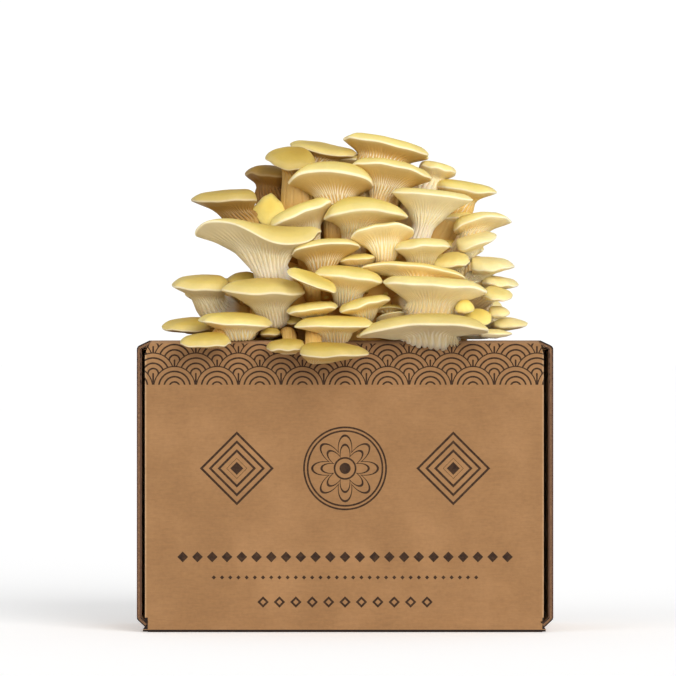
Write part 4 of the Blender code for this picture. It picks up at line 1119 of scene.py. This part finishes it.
def lozengeRow(add, x, z, row):
    distance = add("ShaderNodeMath", (fromMiddle(add, x, row["pitch"]), awayFrom(add, z, row["height"])))
    solid = within(add, distance, row["hole"] - 0.001, row["size"])  # just under: a solid one has no hole
    reach = within(add, x, -row["half"], row["half"])
    return add("ShaderNodeMath", (solid, reach), operation="MULTIPLY")


# Wear of the board and painted shade along its fold, foot, cut ends, tab and low corners, in mm: how far in
# from an edge or up from the foot each one is seen
wear = dict(frontPlane=0.35, rubbed=1.2, foldFrom=2.4, foldTo=0.8, foldShade=0.55, foot=1.6, endFrom=123.6,
    endLow=9.0, endHigh=5.5, tabClear=0.7, lowCutFrom=120.3)
kraft = dict(clouds=30, grain=2.2, fibre=0.9, relief=0.12,  # in mm
    fibreStretch=0.16, mixRange=(0.7, 1.3), mixShade=(0.9, 1.09), flutesShown=0.25, roughness=(0.7, 0.92),
    # the fold's grey and the dark of the foot, tab, corners and cut edges are painted shade, the cut edges
    # partly their own darker board; rubbed is wear and ink is print
    board=[(0.32, "#916A43"), (0.5, "#976F47"), (0.7, "#9F764D")], rubbed="#D2AE85", fold="#8C7058",
    cutCorner="#1E100A", cutEdge="#54382A", ink="#241005", inkThin=0.86)


def makeKraft():
    # kraft liner board, calendered: brown fibres pressed flat, with faint lines where the flutes show
    # through, printed in one dark brown ink that lets the fibres through, and rubbed pale along its edges;
    # painted shade darkens its fold, its foot, its cut ends, the tab and the low corners
    material, shader, add = newMaterial("kraft liner board")
    height = carton["height"]
    where = add("ShaderNodeTexCoord").outputs["Object"]
    inMm = add("ShaderNodeVectorMath", {0: where, "Scale": 1 / mm}, operation="SCALE")
    x, y, z = add("ShaderNodeSeparateXYZ", (inMm,)).outputs
    clouds = add("ShaderNodeTexNoise", {"Vector": where, "Scale": perSize(kraft["clouds"]), "Detail": 4.0})
    grain = add("ShaderNodeTexNoise",
        {"Vector": where, "Scale": perSize(kraft["grain"]), "Detail": 5.0, "Roughness": 0.65})
    stretched = add("ShaderNodeMapping", {"Vector": where, "Scale": (kraft["fibreStretch"], 1.0, 1.0)})
    fibres = add("ShaderNodeTexNoise",
        {"Vector": stretched, "Scale": perSize(kraft["fibre"]), "Detail": 3.0, "Distortion": 0.6})
    tone = add("ShaderNodeMapRange", (add("ShaderNodeMath", (grain, fibres)),
        *kraft["mixRange"], *kraft["mixShade"]))
    board = add("ShaderNodeVectorMath",
        {0: add("ShaderNodeValToRGB", (clouds,), kraft["board"]), "Scale": tone}, operation="SCALE")

    # the front panel's rubbed edges, painted grey shade along the fold over it, and painted shadow at its
    # foot, its cut ends (partly their own darker board), the tab and the low corners
    left, right = box["frontLeft"], box["frontRight"]
    fromLeft = add("ShaderNodeMapRange", (x, left, left + wear["rubbed"], 1.0, 0.0))
    fromRight = add("ShaderNodeMapRange", (x, right - wear["rubbed"], right))
    rubbed = add("ShaderNodeMath", (anyOf(add, [fromLeft, fromRight]), grain), operation="MULTIPLY")
    # painted grey shade along the rounded fold at the top of the front
    fold = add("ShaderNodeMapRange",
        (z, height - wear["foldFrom"], height - wear["foldTo"], 0.0, wear["foldShade"]))
    onFront = add("ShaderNodeMath", (y, -carton["depth"] / 2 + wear["frontPlane"]), operation="LESS_THAN")
    foot = add("ShaderNodeMath", (z, wear["foot"]), operation="LESS_THAN")
    aside = add("ShaderNodeMath", (x,), operation="ABSOLUTE")
    end = add("ShaderNodeMath", (aside, wear["endFrom"]), operation="GREATER_THAN")
    slope = box["cornerCut"] / (-left - box["lidHalf"])
    corner = add("ShaderNodeMath", (aside, slope, z), operation="MULTIPLY_ADD")
    onTab = add("ShaderNodeMath", (corner, height + box["lidHalf"] * slope + wear["tabClear"]),
        operation="GREATER_THAN")
    lowCut = add("ShaderNodeMath", (within(add, z, box["notchLow"], wear["endLow"]),
        within(add, aside, wear["lowCutFrom"], carton["width"])), operation="MULTIPLY")
    dark = add("ShaderNodeMath", (anyOf(add, [foot, end, onTab, lowCut]), onFront), operation="MULTIPLY")
    cut = add("ShaderNodeMix", {0: within(add, z, wear["endLow"], height - wear["endHigh"]),
        6: linear(kraft["cutCorner"]), 7: linear(kraft["cutEdge"])}, data_type="RGBA")

    shapes = [scallopBand(add, x, z), rosette(add, x, z), nestedDiamonds(add, x, z)]
    shapes += [lozengeRow(add, x, z, row) for row in ornament["rows"]]
    cover = add("ShaderNodeMapRange", (grain, *noiseRange, 1.0, kraft["inkThin"]))
    ink = add("ShaderNodeMath", (anyOf(add, shapes), onFront), operation="MULTIPLY")
    ink = add("ShaderNodeMath", (ink, cover), operation="MULTIPLY")
    colour = board
    for share, tint in ((rubbed, linear(kraft["rubbed"])), (fold, linear(kraft["fold"])), (dark, cut),
            (ink, linear(kraft["ink"]))):
        colour = add("ShaderNodeMix", {0: share, 6: colour, 7: tint}, data_type="RGBA")

    flutes = add("ShaderNodeMath", (x, 2 * math.pi / box["flutePitch"]), operation="MULTIPLY")
    flutes = add("ShaderNodeMath", (flutes,), operation="SINE")
    relief = add("ShaderNodeMath", (flutes, kraft["flutesShown"], fibres), operation="MULTIPLY_ADD")
    fillInputs(shader, {
        "Base Color": colour,
        "Normal": add("ShaderNodeBump",
            {"Strength": 0.35, "Distance": kraft["relief"] * mm, "Height": relief}),
        "Roughness": add("ShaderNodeMapRange", (fibres, 0.0, 1.0, *kraft["roughness"])),
        "Specular IOR Level": 0.3})
    return material


def makeFluting():
    # fluting paper, recycled fibre: darker and greyer than the liner, and always in its own shade
    material, shader, add = newMaterial("fluting paper")
    where = add("ShaderNodeTexCoord").outputs["Object"]
    fibres = add("ShaderNodeTexNoise", {"Vector": where, "Scale": perSize(1.4), "Detail": 4.0})
    fillInputs(shader, {
        "Base Color": add("ShaderNodeValToRGB", (fibres,), [(0.3, "#6B4C36"), (0.7, "#94704F")]),
        "Normal": add("ShaderNodeBump", {"Strength": 0.5, "Distance": 0.2 * mm, "Height": fibres}),
        "Roughness": 0.95})
    return material


def makeSubstrate():
    # straw and sawdust grown through with mycelium: brown bits under a felt of white threads
    material, shader, add = newMaterial("grown substrate")
    where = add("ShaderNodeTexCoord").outputs["Object"]
    felt = add("ShaderNodeTexNoise", {"Vector": where, "Scale": perSize(6), "Detail": 6.0})
    fillInputs(shader, {
        "Base Color": add("ShaderNodeValToRGB", (felt,), [(0.35, "#7A5634"), (0.55, "#E9E0CC")]),
        "Roughness": 0.9})
    return material


# Camera, floor and light
photoView = dict(eye=(-4.3, -3051.0, 179.5), planeWidth=412.2, planeY=-51.0, sensor=36.0)
studio = dict(floorSize=60.0, floorColour="#F8F8F8", floorGlow=0.24, sky=0.5, backdrop=1.05)
lamps = [  # name, direction it comes from, strength, softness in degrees
    ("key", (0.55, -1.0, 0.6), 1.45, 36), ("low front", (0.4, -1.0, 0.14), 0.95, 44),
    ("fill", (-0.9, -0.8, 0.55), 0.5, 40)]


def addCamera():
    camera = bpy.data.cameras.new("camera")
    camera.sensor_width = photoView["sensor"]
    distance = photoView["planeY"] - photoView["eye"][1]
    camera.lens = photoView["sensor"] * distance / photoView["planeWidth"]
    camera.clip_start = 0.1
    camera.clip_end = 100
    obj = bpy.data.objects.new("camera", camera)
    obj.location = Vector(photoView["eye"]) * mm
    obj.rotation_euler = (math.pi / 2, 0, 0)
    bpy.context.scene.collection.objects.link(obj)
    bpy.context.scene.camera = obj


def addStage():
    size = studio["floorSize"] / mm / 2
    floor = newMesh("floor", [(-size, -size, 0), (size, -size, 0), (size, size, 0), (-size, size, 0)],
        [(0, 1, 2, 3)])
    material, shader, add = newMaterial("white paper sweep")
    seen = add("ShaderNodeLightPath").outputs["Is Camera Ray"]
    fillInputs(shader, {"Base Color": linear(studio["floorColour"]), "Roughness": 0.95,
        "Emission Color": linear("#FFFFFF"),
        "Emission Strength": add("ShaderNodeMath", (seen, studio["floorGlow"]), operation="MULTIPLY")})
    floor.data.materials.append(material)
    floor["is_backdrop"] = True

    world = bpy.data.worlds.new("white room")
    world.use_nodes = True
    world.node_tree.nodes.clear()
    add = partial(addNode, world.node_tree)
    seen = add("ShaderNodeLightPath").outputs["Is Camera Ray"]
    strength = add("ShaderNodeMapRange", (seen, 0.0, 1.0, studio["sky"], studio["backdrop"]))
    add("ShaderNodeOutputWorld", (add("ShaderNodeBackground", (linear("#FFFFFF"), strength)),))
    bpy.context.scene.world = world

    for name, direction, strength, softness in lamps:
        lamp = bpy.data.lights.new(name, "SUN")
        lamp.energy = strength
        lamp.angle = math.radians(softness)
        obj = bpy.data.objects.new(name, lamp)
        obj.location = direction
        obj.rotation_euler = Vector(direction).to_track_quat("Z", "Y").to_euler()
        bpy.context.scene.collection.objects.link(obj)
    bpy.context.scene.view_settings.view_transform = "Standard"


addCamera()
addStage()
print("camera, floor and light made")
fleshFinish = makeFlesh()
fluting = makeFluting()
buildOysters(fleshFinish)
buildKnot(fleshFinish)
buildCarton(makeKraft(), fluting)
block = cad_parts["substrate_block"]
block.data.materials.clear()
block.data.materials.append(makeSubstrate())
print("block finished")

newLow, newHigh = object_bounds()
